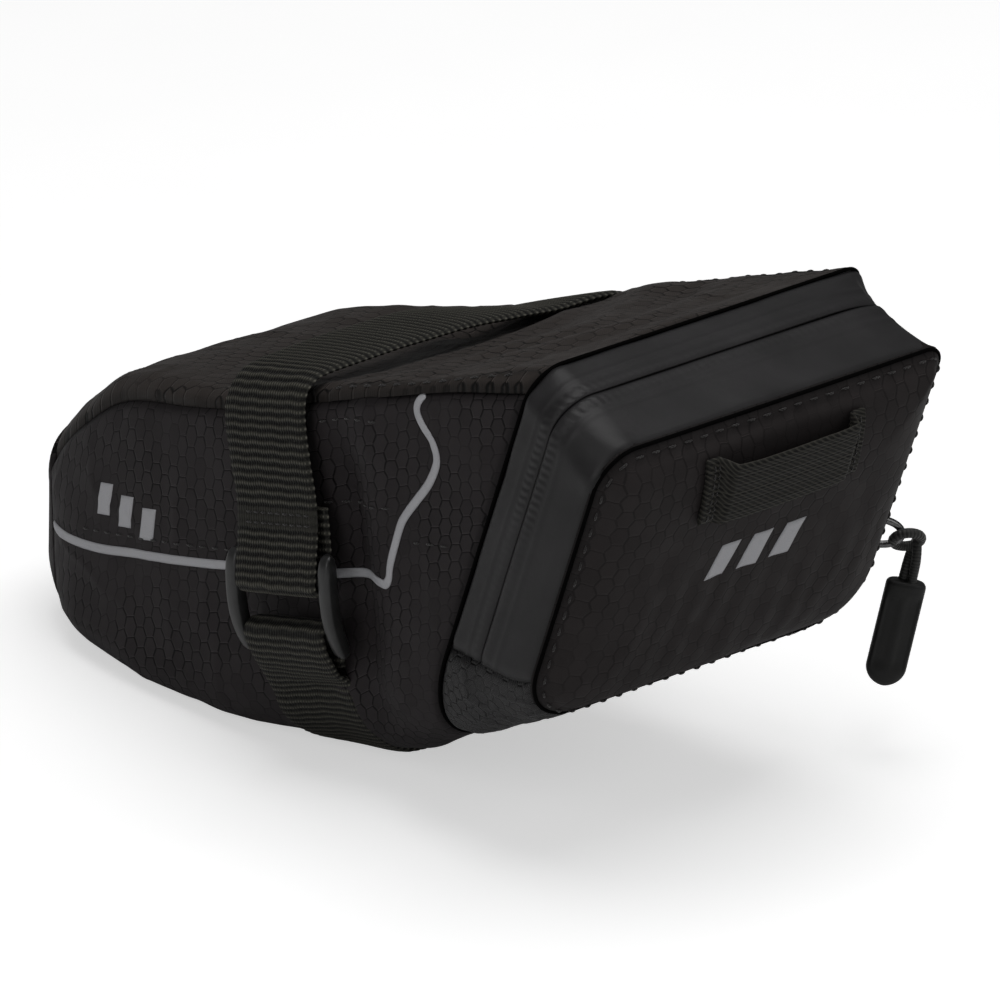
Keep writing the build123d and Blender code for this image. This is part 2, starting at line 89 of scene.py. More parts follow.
def pchip(xs, ys, x):
    """Monotone cubic through (xs, ys[..., k]) at x."""
    xs, ys, x = np.asarray(xs, float), np.asarray(ys, float), np.asarray(x, float)
    one = ys.ndim == 1
    if one:
        ys = ys[:, None]
    h = np.diff(xs)[:, None]
    d = np.diff(ys, axis=0) / h
    m = np.zeros_like(ys)
    for i in range(1, len(xs) - 1):
        ok = d[i - 1] * d[i] > 0
        w1, w2 = 2 * h[i] + h[i - 1], h[i] + 2 * h[i - 1]
        den = w1 / np.where(ok, d[i - 1], 1) + w2 / np.where(ok, d[i], 1)
        m[i] = np.where(ok, (w1 + w2) / den, 0)
    m[0], m[-1] = d[0], d[-1]
    k = np.clip(np.searchsorted(xs, x, side="right") - 1, 0, len(xs) - 2)
    hh = (xs[k + 1] - xs[k])[..., None]
    t = ((x - xs[k]) / (xs[k + 1] - xs[k]))[..., None]
    out = ((2 * t**3 - 3 * t**2 + 1) * ys[k] + (t**3 - 2 * t**2 + t) * hh * m[k]
           + (-2 * t**3 + 3 * t**2) * ys[k + 1] + (t**3 - t**2) * hh * m[k + 1])
    return out[..., 0] if one else out


def catmull(points, n):
    """Centripetal-like spline through points, n samples spaced evenly along it."""
    p = np.asarray(points, float)
    s = np.concatenate([[0], np.cumsum(np.linalg.norm(np.diff(p, axis=0), axis=1))])
    ext = np.vstack([2 * p[0] - p[1], p, 2 * p[-1] - p[-2]])
    out = []
    for i in range(len(p) - 1):
        a, b, c, d = ext[i:i + 4]
        t = np.linspace(0, 1, 24, endpoint=False)[:, None]
        out.append(0.5 * ((2 * b) + (-a + c) * t + (2 * a - 5 * b + 4 * c - d) * t**2 + (-a + 3 * b - 3 * c + d) * t**3))
    q = np.vstack(out + [p[-1:]])
    s = np.concatenate([[0], np.cumsum(np.linalg.norm(np.diff(q, axis=0), axis=1))])
    u = np.linspace(0, s[-1], n)
    return np.stack([np.interp(u, s, q[:, k]) for k in range(q.shape[1])], 1)


def P3(x, t, d):
    x, t, d = np.broadcast_arrays(np.asarray(x, float), np.asarray(t, float), np.asarray(d, float))
    return np.stack([x, t * SL + d * CL, 102 - t * CL + d * SL], -1)


def row(p):
    return tuple((np.asarray(p, float) + SHIFT) / 1000)


# ------------------------------------------------------------------ mesh helpers
MADE = []


def mk(name, verts, faces, mat, attrs=(), smooth_faces=True):
    me = bpy.data.meshes.new(name)
    v = (np.asarray(verts, float) + SHIFT) / 1000
    me.from_pydata(v.tolist(), [], faces)
    for key, arr in attrs:
        arr = np.asarray(arr, float)
        if arr.ndim == 1:
            a = me.attributes.new(key, "FLOAT", "POINT")
            a.data.foreach_set("value", arr.astype(np.float32))
        else:
            a = me.attributes.new(key, "FLOAT_VECTOR", "POINT")
            a.data.foreach_set("vector", arr.astype(np.float32).ravel())
    me.polygons.foreach_set("use_smooth", [smooth_faces] * len(me.polygons))
    me.update()
    o = bpy.data.objects.new(name, me)
    SC.collection.objects.link(o)
    o.data.materials.append(mat)
    MADE.append(o)
    return o


def grid_faces(nu, nv, off=0, flip=False, close_u=False, close_v=False):
    i = np.arange(nu if close_u else nu - 1)
    j = np.arange(nv if close_v else nv - 1)
    I, J = np.meshgrid(i, j, indexing="ij")
    I2, J2 = (I + 1) % nu, (J + 1) % nv
    a, b, c, d = I * nv + J, I2 * nv + J, I2 * nv + J2, I * nv + J2
    f = np.stack([a, b, c, d] if not flip else [a, d, c, b], -1).reshape(-1, 4) + off
    return f.tolist()


def normals(G, flip=False, close_v=False):
    du = np.gradient(G, axis=0)
    if close_v:
        dv = (np.roll(G, -1, 1) - np.roll(G, 1, 1)) / 2
    else:
        dv = np.gradient(G, axis=1)
    n = np.cross(du, dv)
    n /= np.maximum(np.linalg.norm(n, axis=-1, keepdims=True), 1e-9)
    return -n if flip else n


def arcs(G):
    """Distances of each grid point to the four edges: low and high end of axis 0, low and high end of axis 1."""
    a = np.concatenate([np.zeros((1, G.shape[1])), np.cumsum(np.linalg.norm(np.diff(G, axis=0), axis=-1), axis=0)])
    b = np.concatenate([np.zeros((G.shape[0], 1)), np.cumsum(np.linalg.norm(np.diff(G, axis=1), axis=-1), axis=1)], axis=1)
    return a, a[-1:] - a, b, b[:, -1:] - b


def shell(name, G, thick, mat, pat, edge, flip=False, extra=()):
    """Closed sheet: grid G is its outer face; the inner face lies thick behind it."""
    n = normals(G, flip)
    nu, nv = G.shape[:2]
    N = nu * nv
    v = np.concatenate([G.reshape(-1, 3), (G - n * thick).reshape(-1, 3)])
    f = grid_faces(nu, nv, 0, flip) + grid_faces(nu, nv, N, not flip)
    loop = ([i * nv for i in range(nu)] + [(nu - 1) * nv + j for j in range(1, nv)]
            + [i * nv + nv - 1 for i in range(nu - 2, -1, -1)] + list(range(nv - 2, 0, -1)))
    if flip:
        loop = loop[::-1]
    for a, b in zip(loop, loop[1:] + loop[:1]):
        f.append([a, a + N, b + N, b])
    two = lambda x: np.concatenate([x, x])
    pat3 = np.concatenate([pat.reshape(N, 2), np.zeros((N, 1))], 1)
    at = [("pat", two(pat3)), ("edge", two(edge.reshape(-1)))] + [(k, two(x.reshape(-1))) for k, x in extra]
    return mk(name, v, f, mat, at)


def frames(path):
    """Tangents and a steady pair of cross vectors along a path."""
    t = np.gradient(path, axis=0)
    t /= np.maximum(np.linalg.norm(t, axis=1, keepdims=True), 1e-9)
    ref = np.array([0.13, 0.21, 0.97])
    a = []
    prev = np.cross(t[0], ref)
    prev /= np.linalg.norm(prev)
    for k in range(len(t)):
        prev = prev - t[k] * prev.dot(t[k])
        prev /= np.linalg.norm(prev)
        a.append(prev.copy())
    a = np.array(a)
    return t, a, np.cross(t, a)


def sweep(name, path, profile, mat, scale=None, closed=False, A=None, attrs=None):
    """Profile (m, 2) swept along path (n, 3) with end caps."""
    t, a, b = frames(path)
    if A is not None:
        a = A - t * (A * t).sum(1, keepdims=True)
        a /= np.linalg.norm(a, axis=1, keepdims=True)
        b = np.cross(t, a)
    sc = np.ones(len(path)) if scale is None else np.asarray(scale)
    prof = np.asarray(profile, float)
    G = path[:, None, :] + (prof[None, :, 0:1] * a[:, None, :] + prof[None, :, 1:2] * b[:, None, :]) * sc[:, None, None]
    n, m = G.shape[:2]
    v = G.reshape(-1, 3).tolist()
    f = grid_faces(n, m, 0, False, close_u=closed, close_v=True)
    if not closed:
        v += [path[0].tolist(), path[-1].tolist()]
        c0, c1 = n * m, n * m + 1
        for k in range(m):
            k2 = (k + 1) % m
            f.append([c0, k2, k])
            f.append([c1, (n - 1) * m + k, (n - 1) * m + k2])
    s = np.concatenate([[0], np.cumsum(np.linalg.norm(np.diff(path, axis=0), axis=1))])
    pat = np.zeros((len(v), 3))
    pat[:n * m, 0] = np.repeat(s, m)
    pat[:n * m, 1] = np.tile(np.arange(m) / m, n)
    return mk(name, v, f, mat, [("pat", pat)])


def circle(r, n=14, ry=None):
    a = np.arange(n) / n * 2 * math.pi
    return np.stack([r * np.cos(a), (ry or r) * np.sin(a)], 1)


def rounded(w, h, p=3.2, n=24):
    a = np.arange(n) / n * 2 * math.pi
    c, s = np.cos(a), np.sin(a)
    return np.stack([np.sign(c) * np.abs(c) ** (2 / p) * w / 2, np.sign(s) * np.abs(s) ** (2 / p) * h / 2], 1)


def stitches(name, path, nrm, mat, pitch=4.2, length=2.5, r=0.3, lift=0.1, phase=0.0):
    """A row of thread stitches that dive into the cloth at both ends."""
    s = np.concatenate([[0], np.cumsum(np.linalg.norm(np.diff(path, axis=0), axis=1))])
    V, F, pat = [], [], []
    at = phase
    m, k = 6, 7
    while at + length < s[-1]:
        u = np.linspace(at, at + length, k)
        c = np.stack([np.interp(u, s, path[:, i]) for i in range(3)], 1)
        nn = np.stack([np.interp(u, s, nrm[:, i]) for i in range(3)], 1)
        nn /= np.linalg.norm(nn, axis=1, keepdims=True)
        w = np.sin(np.linspace(0.12, math.pi - 0.12, k))
        c = c + nn * (lift + r * (w * 1.3 - 0.9))[:, None]
        t = np.gradient(c, axis=0)
        t /= np.linalg.norm(t, axis=1, keepdims=True)
        bb = np.cross(t, nn)
        bb /= np.linalg.norm(bb, axis=1, keepdims=True)
        aa = np.cross(bb, t)
        ang = np.arange(m) / m * 2 * math.pi
        rr = r * (0.35 + 0.65 * np.sqrt(w))
        G = c[:, None] + rr[:, None, None] * (np.cos(ang)[None, :, None] * aa[:, None] + np.sin(ang)[None, :, None] * bb[:, None])
        off = len(V)
        V += G.reshape(-1, 3).tolist()
        F += grid_faces(k, m, off, False, close_v=True)
        F.append([off + i for i in range(m)][::-1])
        F.append([off + (k - 1) * m + i for i in range(m)])
        pat += [[x, y, 0] for x in u for y in range(m)]
        at += pitch
    return mk(name, V, F, mat, [("pat", np.array(pat))])


# ------------------------------------------------------------------ materials
def srgb(r, g, b):
    f = lambda c: (c / 255 / 12.92) if c / 255 <= 0.04045 else ((c / 255 + 0.055) / 1.055) ** 2.4
    return (f(r), f(g), f(b), 1.0)


class NT:
    """Thin writer of node trees."""

    def __init__(self, name):
        self.m = bpy.data.materials.new(name)
        self.m.use_nodes = True
        self.t = self.m.node_tree
        self.bsdf = self.t.nodes["Principled BSDF"]

    def put(self, sock, v):
        if isinstance(v, bpy.types.NodeSocket):
            self.t.links.new(v, sock)
        else:
            sock.default_value = v

    def math(self, op, a, b=0.0, c=None, clamp=False):
        n = self.t.nodes.new("ShaderNodeMath")
        n.operation = op
        n.use_clamp = clamp
        self.put(n.inputs[0], a)
        self.put(n.inputs[1], b)
        if c is not None:
            self.put(n.inputs[2], c)
        return n.outputs[0]

    def vmath(self, op, a, b=None, c=None, out=0):
        n = self.t.nodes.new("ShaderNodeVectorMath")
        n.operation = op
        self.put(n.inputs[0], a)
        if b is not None:
            self.put(n.inputs[1], b)
        if c is not None:
            self.put(n.inputs[2], c)
        return n.outputs[out]

    def attr(self, name, fac=False):
        n = self.t.nodes.new("ShaderNodeAttribute")
        n.attribute_name = name
        return n.outputs["Fac"] if fac else n.outputs["Vector"]

    def obj(self, k=1000.0):
        n = self.t.nodes.new("ShaderNodeTexCoord")
        return self.vmath("SCALE", n.outputs["Object"]) if k == 1 else self._scale(n.outputs["Object"], k)

    def _scale(self, v, k):
        n = self.t.nodes.new("ShaderNodeVectorMath")
        n.operation = "SCALE"
        self.put(n.inputs[0], v)
        n.inputs["Scale"].default_value = k
        return n.outputs[0]

    def sep(self, v):
        n = self.t.nodes.new("ShaderNodeSeparateXYZ")
        self.put(n.inputs[0], v)
        return n.outputs

    def comb(self, x, y, z=0.0):
        n = self.t.nodes.new("ShaderNodeCombineXYZ")
        for s, v in zip(n.inputs, (x, y, z)):
            self.put(s, v)
        return n.outputs[0]

    def noise(self, v, scale, detail=3.0, rough=0.5):
        n = self.t.nodes.new("ShaderNodeTexNoise")
        self.put(n.inputs["Vector"], v)
        n.inputs["Scale"].default_value = scale
        n.inputs["Detail"].default_value = detail
        n.inputs["Roughness"].default_value = rough
        return n.outputs["Fac"]

    def ramp(self, x, a, b, lo=0.0, hi=1.0):
        n = self.t.nodes.new("ShaderNodeMapRange")
        n.interpolation_type = "SMOOTHSTEP"
        self.put(n.inputs["Value"], x)
        n.inputs["From Min"].default_value = a
        n.inputs["From Max"].default_value = b
        n.inputs["To Min"].default_value = lo
        n.inputs["To Max"].default_value = hi
        return n.outputs["Result"]

    def mix(self, f, a, b):
        n = self.t.nodes.new("ShaderNodeMix")
        n.data_type = "RGBA"
        self.put(n.inputs["Factor"], f)
        ins = [s for s in n.inputs if s.type == "RGBA"]
        self.put(ins[0], a)
        self.put(ins[1], b)
        return [s for s in n.outputs if s.type == "RGBA"][0]

    def bump(self, h, dist, strength=1.0, normal=None):
        n = self.t.nodes.new("ShaderNodeBump")
        n.inputs["Strength"].default_value = strength
        n.inputs["Distance"].default_value = dist
        self.put(n.inputs["Height"], h)
        if normal is not None:
            self.put(n.inputs["Normal"], normal)
        return n.outputs["Normal"]

    def hex(self, v, px, py):
        """Distance from a hexagonal cell's border (0 at it, 0.5 in the middle) and a vector that is the same all over a cell."""
        x, y, _ = self.sep(v)
        p = self.comb(self.math("DIVIDE", y, py), self.math("DIVIDE", x, px / 1.7320508))
        a = self.vmath("WRAP", p, (0.5, 0.8660254, 1.0), (-0.5, -0.8660254, -1.0))
        b = self.vmath("WRAP", self.vmath("SUBTRACT", p, (0.5, 0.8660254, 0.0)), (0.5, 0.8660254, 1.0), (-0.5, -0.8660254, -1.0))
        la, lb = self.vmath("LENGTH", a, out=1), self.vmath("LENGTH", b, out=1)
        less = self.math("LESS_THAN", la, lb)
        g = self.mix(less, b, a)
        cell = self.vmath("SUBTRACT", p, g)
        gx, gy, _ = self.sep(self.vmath("ABSOLUTE", g))
        hd = self.math("MAXIMUM", self.math("ADD", self.math("MULTIPLY", gx, 0.5), self.math("MULTIPLY", gy, 0.8660254)), gx)
        return self.math("SUBTRACT", 0.5, hd), cell, self.sep(g)[0]

    def rand(self, v):
        n = self.t.nodes.new("ShaderNodeTexWhiteNoise")
        n.noise_dimensions = "3D"
        self.put(n.inputs["Vector"], self.vmath("SNAP", v, (0.25, 0.25, 0.25)))
        return n.outputs["Value"]

    def done(self, color, rough, normal=None, spec=0.5, sheen=0.0, sheen_rough=0.4, metal=0.0, coat=0.0, coat_rough=0.2, sheen_tint=(1, 1, 1, 1)):
        b = self.bsdf.inputs
        self.put(b["Base Color"], color)
        self.put(b["Roughness"], rough)
        b["Specular IOR Level"].default_value = spec
        b["Metallic"].default_value = metal
        b["Sheen Weight"].default_value = sheen
        b["Sheen Roughness"].default_value = sheen_rough
        b["Sheen Tint"].default_value = sheen_tint
        b["Coat Weight"].default_value = coat
        b["Coat Roughness"].default_value = coat_rough
        if normal is not None:
            self.put(b["Normal"], normal)
        return self.m


def ripstop(name, base, px=6.1, py=4.3, depth=0.00024, sheen=0.01, rough=0.60, contrast=1.0, fine=1.0, spec=0.08):
    """Woven ripstop with a hexagonal reinforcing grid: sunk dark cell lines with a painted highlight (a glint) along
    their lower lip, painted highlight dashes on one side of the grid, painted shade darkening near the seams, and a
    fine plain weave.
    """
    k = NT(name)
    v = k.attr("pat")
    wob = k.vmath("MULTIPLY_ADD", k.comb(k.noise(v, 0.16, 2), k.noise(k.vmath("ADD", v, (31.0, 7.0, 0.0)), 0.16, 2)), (1.1, 0.9, 0.0), v)
    e, cell, gx = k.hex(wob, px, py)
    r = k.rand(cell)
    line = k.ramp(e, 0.022, 0.10, 1.0, 0.0)
    # painted highlight: a lighter glint along the lower lip of each grid line, on one side only
    lip = k.math("MULTIPLY", k.math("MULTIPLY", k.ramp(e, 0.03, 0.06), k.ramp(e, 0.07, 0.13, 1.0, 0.0)), k.ramp(gx, 0.05, 0.40))
    pillow = k.ramp(e, 0.0, 0.11)
    # painted highlight: a bright dash along one side of each grid line; the grid is pressed flat in places and stands
    # out in others
    dash_highlight = k.math("MULTIPLY", k.ramp(gx, 0.43, 0.47), k.ramp(e, 0.004, 0.05, 1.0, 0.0))
    rel = k.ramp(k.noise(v, 0.045, 2), 0.36, 0.58, 0.3, 1.0)
    x, y, _ = k.sep(v)
    wx = k.math("SINE", k.math("MULTIPLY", x, 2 * math.pi / 0.62))
    wy = k.math("SINE", k.math("MULTIPLY", y, 2 * math.pi / 0.62))
    weave = k.math("MULTIPLY", wx, wy)
    grain = k.noise(v, 2.6, 3, 0.65)
    mott = k.noise(v, 0.09, 4, 0.6)
    edge = k.attr("edge", True)
    # painted shade: the cloth is darker within a few mm of each seam and panel edge, where the seam pinch lies in shade
    seam_shade = k.ramp(edge, 0.6, 3.0, 1.0, 0.0)
    dark = srgb(*[c * 0.03 for c in base])
    mid = srgb(*base)
    lit = srgb(*[min(255, c * 1.28 + 4) for c in base])
    col = k.mix(k.math("ADD", k.math("MULTIPLY", r, 0.28), k.math("MULTIPLY", mott, 0.45), clamp=True), mid, lit)
    col = k.mix(k.math("MULTIPLY", k.math("MULTIPLY", line, rel), 1.0 * contrast, clamp=True), col, dark)
    col = k.mix(k.math("MULTIPLY", k.ramp(grain, 0.35, 0.7), 0.22 * fine), col, lit)
    # painted highlight: the lip glint is mixed in lighter
    col = k.mix(k.math("MULTIPLY", k.math("MULTIPLY", lip, rel), 0.22 * contrast, clamp=True), col, srgb(*[min(255, c * 1.9 + 6) for c in base]))
    # painted highlight: the grid dashes are mixed in much lighter
    col = k.mix(k.math("MULTIPLY", k.math("MULTIPLY", dash_highlight, rel), 0.5 * contrast, clamp=True), col, srgb(*[min(255, c * 2.4 + 12) for c in base]))
    # painted shade: darker towards the seams
    col = k.mix(k.math("MULTIPLY", seam_shade, 0.45), col, dark)
    h = k.math("ADD", k.math("MULTIPLY", k.math("MULTIPLY", pillow, rel), 0.42), k.math("MULTIPLY", weave, 0.035 * fine))
    h = k.math("ADD", h, k.math("MULTIPLY", grain, 0.10 * fine))
    ro = k.math("ADD", k.math("MULTIPLY", grain, 0.16), rough - 0.08)
    ro = k.math("ADD", ro, k.math("MULTIPLY", r, -0.06))
    return k.done(col, ro, k.bump(h, depth, 0.85), spec=spec, sheen=sheen, sheen_rough=0.45)


def coated(name, base, rough=0.4):
    """Smooth laminated zip band: faint orange peel, rub marks, and the buried coil's teeth telegraphing through near the zip."""
    k = NT(name)
    v = k.attr("pat")
    z = k.attr("zipd", True)
    x, y, _ = k.sep(v)
    n_big = k.noise(v, 0.05, 3)
    n_mid = k.noise(v, 0.4, 4, 0.6)
    n_fine = k.noise(v, 3.2, 3, 0.6)
    teeth = k.math("SINE", k.math("MULTIPLY", x, 2 * math.pi / 1.9))
    near = k.math("MULTIPLY", k.ramp(z, 0.5, 1.0), k.ramp(z, 2.6, 3.6, 1.0, 0.0))
    here = k.math("ADD", k.math("MULTIPLY", k.ramp(x, 30.0, 44.0), k.ramp(x, 66.0, 76.0, 1.0, 0.0)), 0.12)
    teeth = k.math("MULTIPLY", k.math("MULTIPLY", teeth, near), here)
    ridge = k.math("MULTIPLY", k.ramp(z, 3.2, 4.4), k.ramp(z, 4.4, 5.2, 1.0, 0.0))
    h = k.math("ADD", k.math("MULTIPLY", teeth, 0.45), k.math("ADD", k.math("MULTIPLY", n_mid, 0.35), k.math("MULTIPLY", n_fine, 0.10)))
    h = k.math("ADD", h, k.math("MULTIPLY", ridge, 0.12))
    lo, hi = srgb(*[c * 0.86 for c in base]), srgb(*[min(255, c * 1.14) for c in base])
    col = k.mix(k.ramp(n_big, 0.3, 0.7), lo, hi)
    # painted shade: the band is painted near black right at the zip line, for the shadow in the zip gap
    col = k.mix(k.math("MULTIPLY", k.ramp(z, 0.0, 0.35, 1.0, 0.0), 0.8), col, srgb(12, 12, 13))
    # painted shade: the band darkens towards its seams, where the seam pinch lies in shade
    col = k.mix(k.math("MULTIPLY", k.ramp(k.attr("edge", True), 0.2, 1.4, 1.0, 0.0), 0.75), col, srgb(10, 10, 11))
    ro = k.math("ADD", k.math("MULTIPLY", n_mid, 0.16), rough - 0.08)
    return k.done(col, ro, k.bump(h, 0.00018, 0.7), spec=0.26)


def web(name, base, twill=0.0):
    k = NT(name)
    v = k.attr("pat")
    x, y, _ = k.sep(v)
    rib = k.attr("rib", True)
    warp = k.math("SINE", k.math("MULTIPLY", y, 2 * math.pi / 0.78))
    half = k.math("SINE", k.math("ADD", k.math("MULTIPLY", x, 2 * math.pi / 3.5), k.math("MULTIPLY", y, 2 * math.pi / 1.56)))
    g = k.noise(v, 2.2, 3, 0.7)
    m = k.noise(v, 0.12, 3)
    dark, mid, lit = srgb(*[c * 0.28 for c in base]), srgb(*base), srgb(*[min(255, c * 1.7 + 8) for c in base])
    # painted shade in the rib troughs and painted highlight on the rib crests, following the ribs' wave
    col = k.mix(k.ramp(rib, -0.7, 0.5), dark, mid)
    col = k.mix(k.math("MULTIPLY", k.ramp(rib, 0.3, 1.0), k.ramp(warp, -0.2, 0.9)), col, lit)
    col = k.mix(k.math("MULTIPLY", k.ramp(g, 0.5, 0.75), 0.35), col, lit)
    col = k.mix(k.math("MULTIPLY", m, 0.25), col, dark)
    if twill:
        tw = k.math("SINE", k.math("ADD", k.math("MULTIPLY", x, 2 * math.pi / 1.7), k.math("MULTIPLY", y, 2 * math.pi / 1.15)))
        col = k.mix(k.math("MULTIPLY", k.ramp(tw, -0.1, 0.9), twill), col, lit)
    h = k.math("ADD", k.math("MULTIPLY", warp, 0.5), k.math("ADD", k.math("MULTIPLY", half, 0.22), k.math("MULTIPLY", g, 0.5)))
    return k.done(col, k.math("ADD", k.math("MULTIPLY", g, 0.2), 0.56), k.bump(h, 0.00013, 0.8), spec=0.16, sheen=0.02, sheen_rough=0.4)


def plastic(name, base, rough=0.33, fine=0.12, coat=0.0, spec=0.5):
    k = NT(name)
    v = k.obj()
    n = k.noise(v, 2.4, 3, 0.6)
    b = k.noise(v, 0.15, 3)
    col = k.mix(k.ramp(b, 0.3, 0.7), srgb(*[c * 0.85 for c in base]), srgb(*[min(255, c * 1.18) for c in base]))
    scr = k.ramp(k.noise(k.vmath("MULTIPLY", v, (0.25, 2.2, 0.6)), 1.0, 4, 0.7), 0.62, 0.72)
    ro = k.math("ADD", k.math("MULTIPLY", n, 0.14), k.math("ADD", k.math("MULTIPLY", scr, 0.1), rough - 0.07))
    return k.done(col, ro, k.bump(k.math("MULTIPLY", n, 1.0), 0.00004 * fine / 0.12, 0.6), spec=spec, coat=coat)


def metal(name, base, rough=0.3, m=1.0):
    k = NT(name)
    v = k.obj()
    n = k.noise(v, 1.6, 4, 0.6)
    col = k.mix(k.ramp(n, 0.35, 0.7), srgb(*[c * 0.8 for c in base]), srgb(*base))
    return k.done(col, k.math("ADD", k.math("MULTIPLY", n, 0.2), rough - 0.1), k.bump(n, 0.00003, 0.5), metal=m, spec=0.5)


def thread(name, base):
    k = NT(name)
    v = k.attr("pat")
    x, y, _ = k.sep(v)
    tw = k.math("SINE", k.math("ADD", k.math("MULTIPLY", x, 9.0), k.math("MULTIPLY", y, 1.05)))
    # painted shade in the twist grooves, following the same twist as the bump
    col = k.mix(k.ramp(tw, -0.8, 0.4), srgb(*[c * 0.45 for c in base]), srgb(*base))
    return k.done(col, 0.55, k.bump(tw, 0.00006, 0.8), spec=0.4, sheen=0.2)


def reflective(name, base):
    k = NT(name)
    v = k.attr("pat")
    g = k.noise(v, 5.0, 3, 0.7)
    b = k.noise(v, 0.35, 3)
    col = k.mix(k.ramp(g, 0.3, 0.7), srgb(*[c * 0.90 for c in base]), srgb(*base))
    col = k.mix(k.math("MULTIPLY", k.ramp(b, 0.55, 0.75), 0.25), col, srgb(*[c * 0.8 for c in base]))
    return k.done(col, k.math("ADD", k.math("MULTIPLY", g, 0.15), 0.42), k.bump(g, 0.00003, 0.6), spec=0.55)


M_SIDE = ripstop("ripstop_side", (38, 35, 36), px=6.6, py=4.6, depth=0.0002)
# painted light: the top cloth is a lighter copy of the side ripstop, standing in for the light falling on the top
M_TOP_PAINTED_LIT = ripstop("ripstop_top_painted_lit", (45, 41, 39), px=6.1, py=4.3, contrast=1.15, sheen=0.03, depth=0.0004)
M_REAR = ripstop("ripstop_rear", (37, 34, 34), px=6.1, py=4.3, contrast=0.5, depth=0.00016)
M_PATCH = ripstop("ripstop_patch", (20, 19, 20), px=4.8, py=3.7, contrast=1.3, rough=0.40, depth=0.0014, spec=0.34)
M_BAND = coated("coated_band", (36, 35, 36), 0.46)
M_WEB = web("webbing", (50, 49, 44))
M_LOOP = web("loop_webbing", (32, 31, 28), 0.7)
M_PLASTIC = plastic("buckle_plastic", (36, 36, 36), 0.34)
M_TRAY = plastic("tray_plastic", (40, 40, 41), 0.5, 0.4)
M_GRIP = plastic("grip_plastic", (14, 14, 13), 0.5, 0.3, spec=0.36)
M_COIL = plastic("coil_plastic", (22, 22, 23), 0.4)
M_SLIDER = metal("slider_metal", (70, 70, 70), 0.38, 0.7)
M_RING = metal("ring_metal", (120, 120, 120), 0.26, 1.0)
M_CORD = thread("cord_braid", (44, 44, 42))
M_THREAD = thread("stitch_thread", (40, 37, 36))
M_THREAD_DARK = thread("stitch_thread_dark", (44, 42, 41))
M_REFL = reflective("reflective_print", (176, 176, 180))
M_LINING = ripstop("lining", (46, 46, 48), px=5.0, py=3.6, contrast=0.25, depth=0.00012)

# ------------------------------------------------------------------ body form
def PYZ(t, d):
    return (t * SL + d * CL, 102 - t * CL + d * SL)


R0 = (*PYZ(0, 0), *PYZ(71, 0), 47.0, 47.0, 9, 15, 15, 0.29, 0.0)
R1 = (*PYZ(-2.8, 25), *PYZ(98, 25), 45.5, 45.5, 8, 20, 26, 0.29, 0.0)
SECT = np.array([
    R1,
    (56, 101.4, 80, 7.8, 45.3, 40.5, 4, 22, 25, 0.32, 0.8),
    (92, 88.6, 96.5, 3.0, 43.2, 37.8, 4, 21, 24, 0.34, 2.6),
    (113, 80.4, 113, 2.0, 41.2, 37.6, 4, 17, 18, 0.31, 2.6),
    (136, 74.0, 134, 0.5, 38.6, 36.8, 4.5, 9, 12, 0.29, 1.4),
    (163, 67.2, 159, 0.3, 33.8, 35.8, 6, 7, 9, 0.29, 0.4),
    (184, 55.4, 178, 0.4, 29.8, 33.0, 8, 8, 10, 0.29, 0.0),
    (198.5, 43.6, 190.5, 1.4, 24.8, 27.8, 9, 9, 10, 0.29, 0.0),
    (206.5, 33.5, 200.5, 7, 17.5, 20.3, 9, 9, 9, 0.29, 0.0),
    (209.6, 27.5, 206.5, 13.5, 8.5, 8.5, 5, 5, 5, 0.29, 0.0),
    (209.8, 21.5, 208.8, 18.5, 1.5, 1.5, 1.2, 1.2, 1.2, 0.29, 0.0),
], float)
LS = (SECT[:, 0] + SECT[:, 2]) / 2
RIGHT_RT = np.array([5.0, 3.5] + list(SECT[2:, 6]))


def ring(sec, u, rt_right=None):
    """Points on section(s) sec (n, 11) at ring positions u (m,) in -1..1: 0 the middle of the top, 1 of the bottom, negative on the left."""
    sec = np.atleast_2d(sec)[:, None, :]
    u = np.asarray(u, float)
    u = u[None, :] if u.ndim == 1 else u
    q, sg = np.abs(u), np.where(u < 0, -1.0, 1.0)
    ty, tz, by, bz, wt, wb, rt, rx, rz, cut, sag = [sec[..., i] for i in range(11)]
    if rt_right is not None:
        rr = np.asarray(rt_right, float).reshape(-1, 1)
        rt = np.where(u > 0, rr, rt)
    h = np.hypot(by - ty, bz - tz)
    a = np.clip(q / 0.22, 0, 1)
    b = np.clip((q - 0.22) / 0.08, 0, 1) * math.pi / 2
    c = np.clip((q - 0.30) / 0.32, 0, 1)
    d = np.clip((q - 0.62) / 0.16, 0, 1)
    e = np.clip((q - 0.78) / 0.22, 0, 1)
    hn = 1 - (4 - 8 * cut) / 3
    xA, sA = a * (wt - rt), sag * (1 - a**3.2)
    xB, sB = wt - rt + rt * np.sin(b), rt * (1 - np.cos(b))
    xC, sC = wt + (wb - wt) * c, rt + (h - rz - rt) * c
    w0, w1, w2, w3 = (1 - d)**3, 3 * (1 - d)**2 * d, 3 * (1 - d) * d * d, d**3
    xD = wb * w0 + wb * w1 + (wb - rx * hn) * w2 + (wb - rx) * w3
    sD = (h - rz) * w0 + (h - rz * hn) * w1 + h * w2 + h * w3
    xE, sE = (wb - rx) * (1 - e), h + 0 * e
    x = np.where(q <= 0.22, xA, np.where(q <= 0.30, xB, np.where(q <= 0.62, xC, np.where(q <= 0.78, xD, xE))))
    s = np.where(q <= 0.22, sA, np.where(q <= 0.30, sB, np.where(q <= 0.62, sC, np.where(q <= 0.78, sD, sE))))
    uy, uz = (by - ty) / h, (bz - tz) / h
    return np.stack([sg * x, ty + uy * s, tz + uz * s], -1)


def body(l, u):
    l = np.asarray(l, float)
    sec = pchip(LS, SECT, l)
    return ring(sec, u, pchip(LS, RIGHT_RT, l))


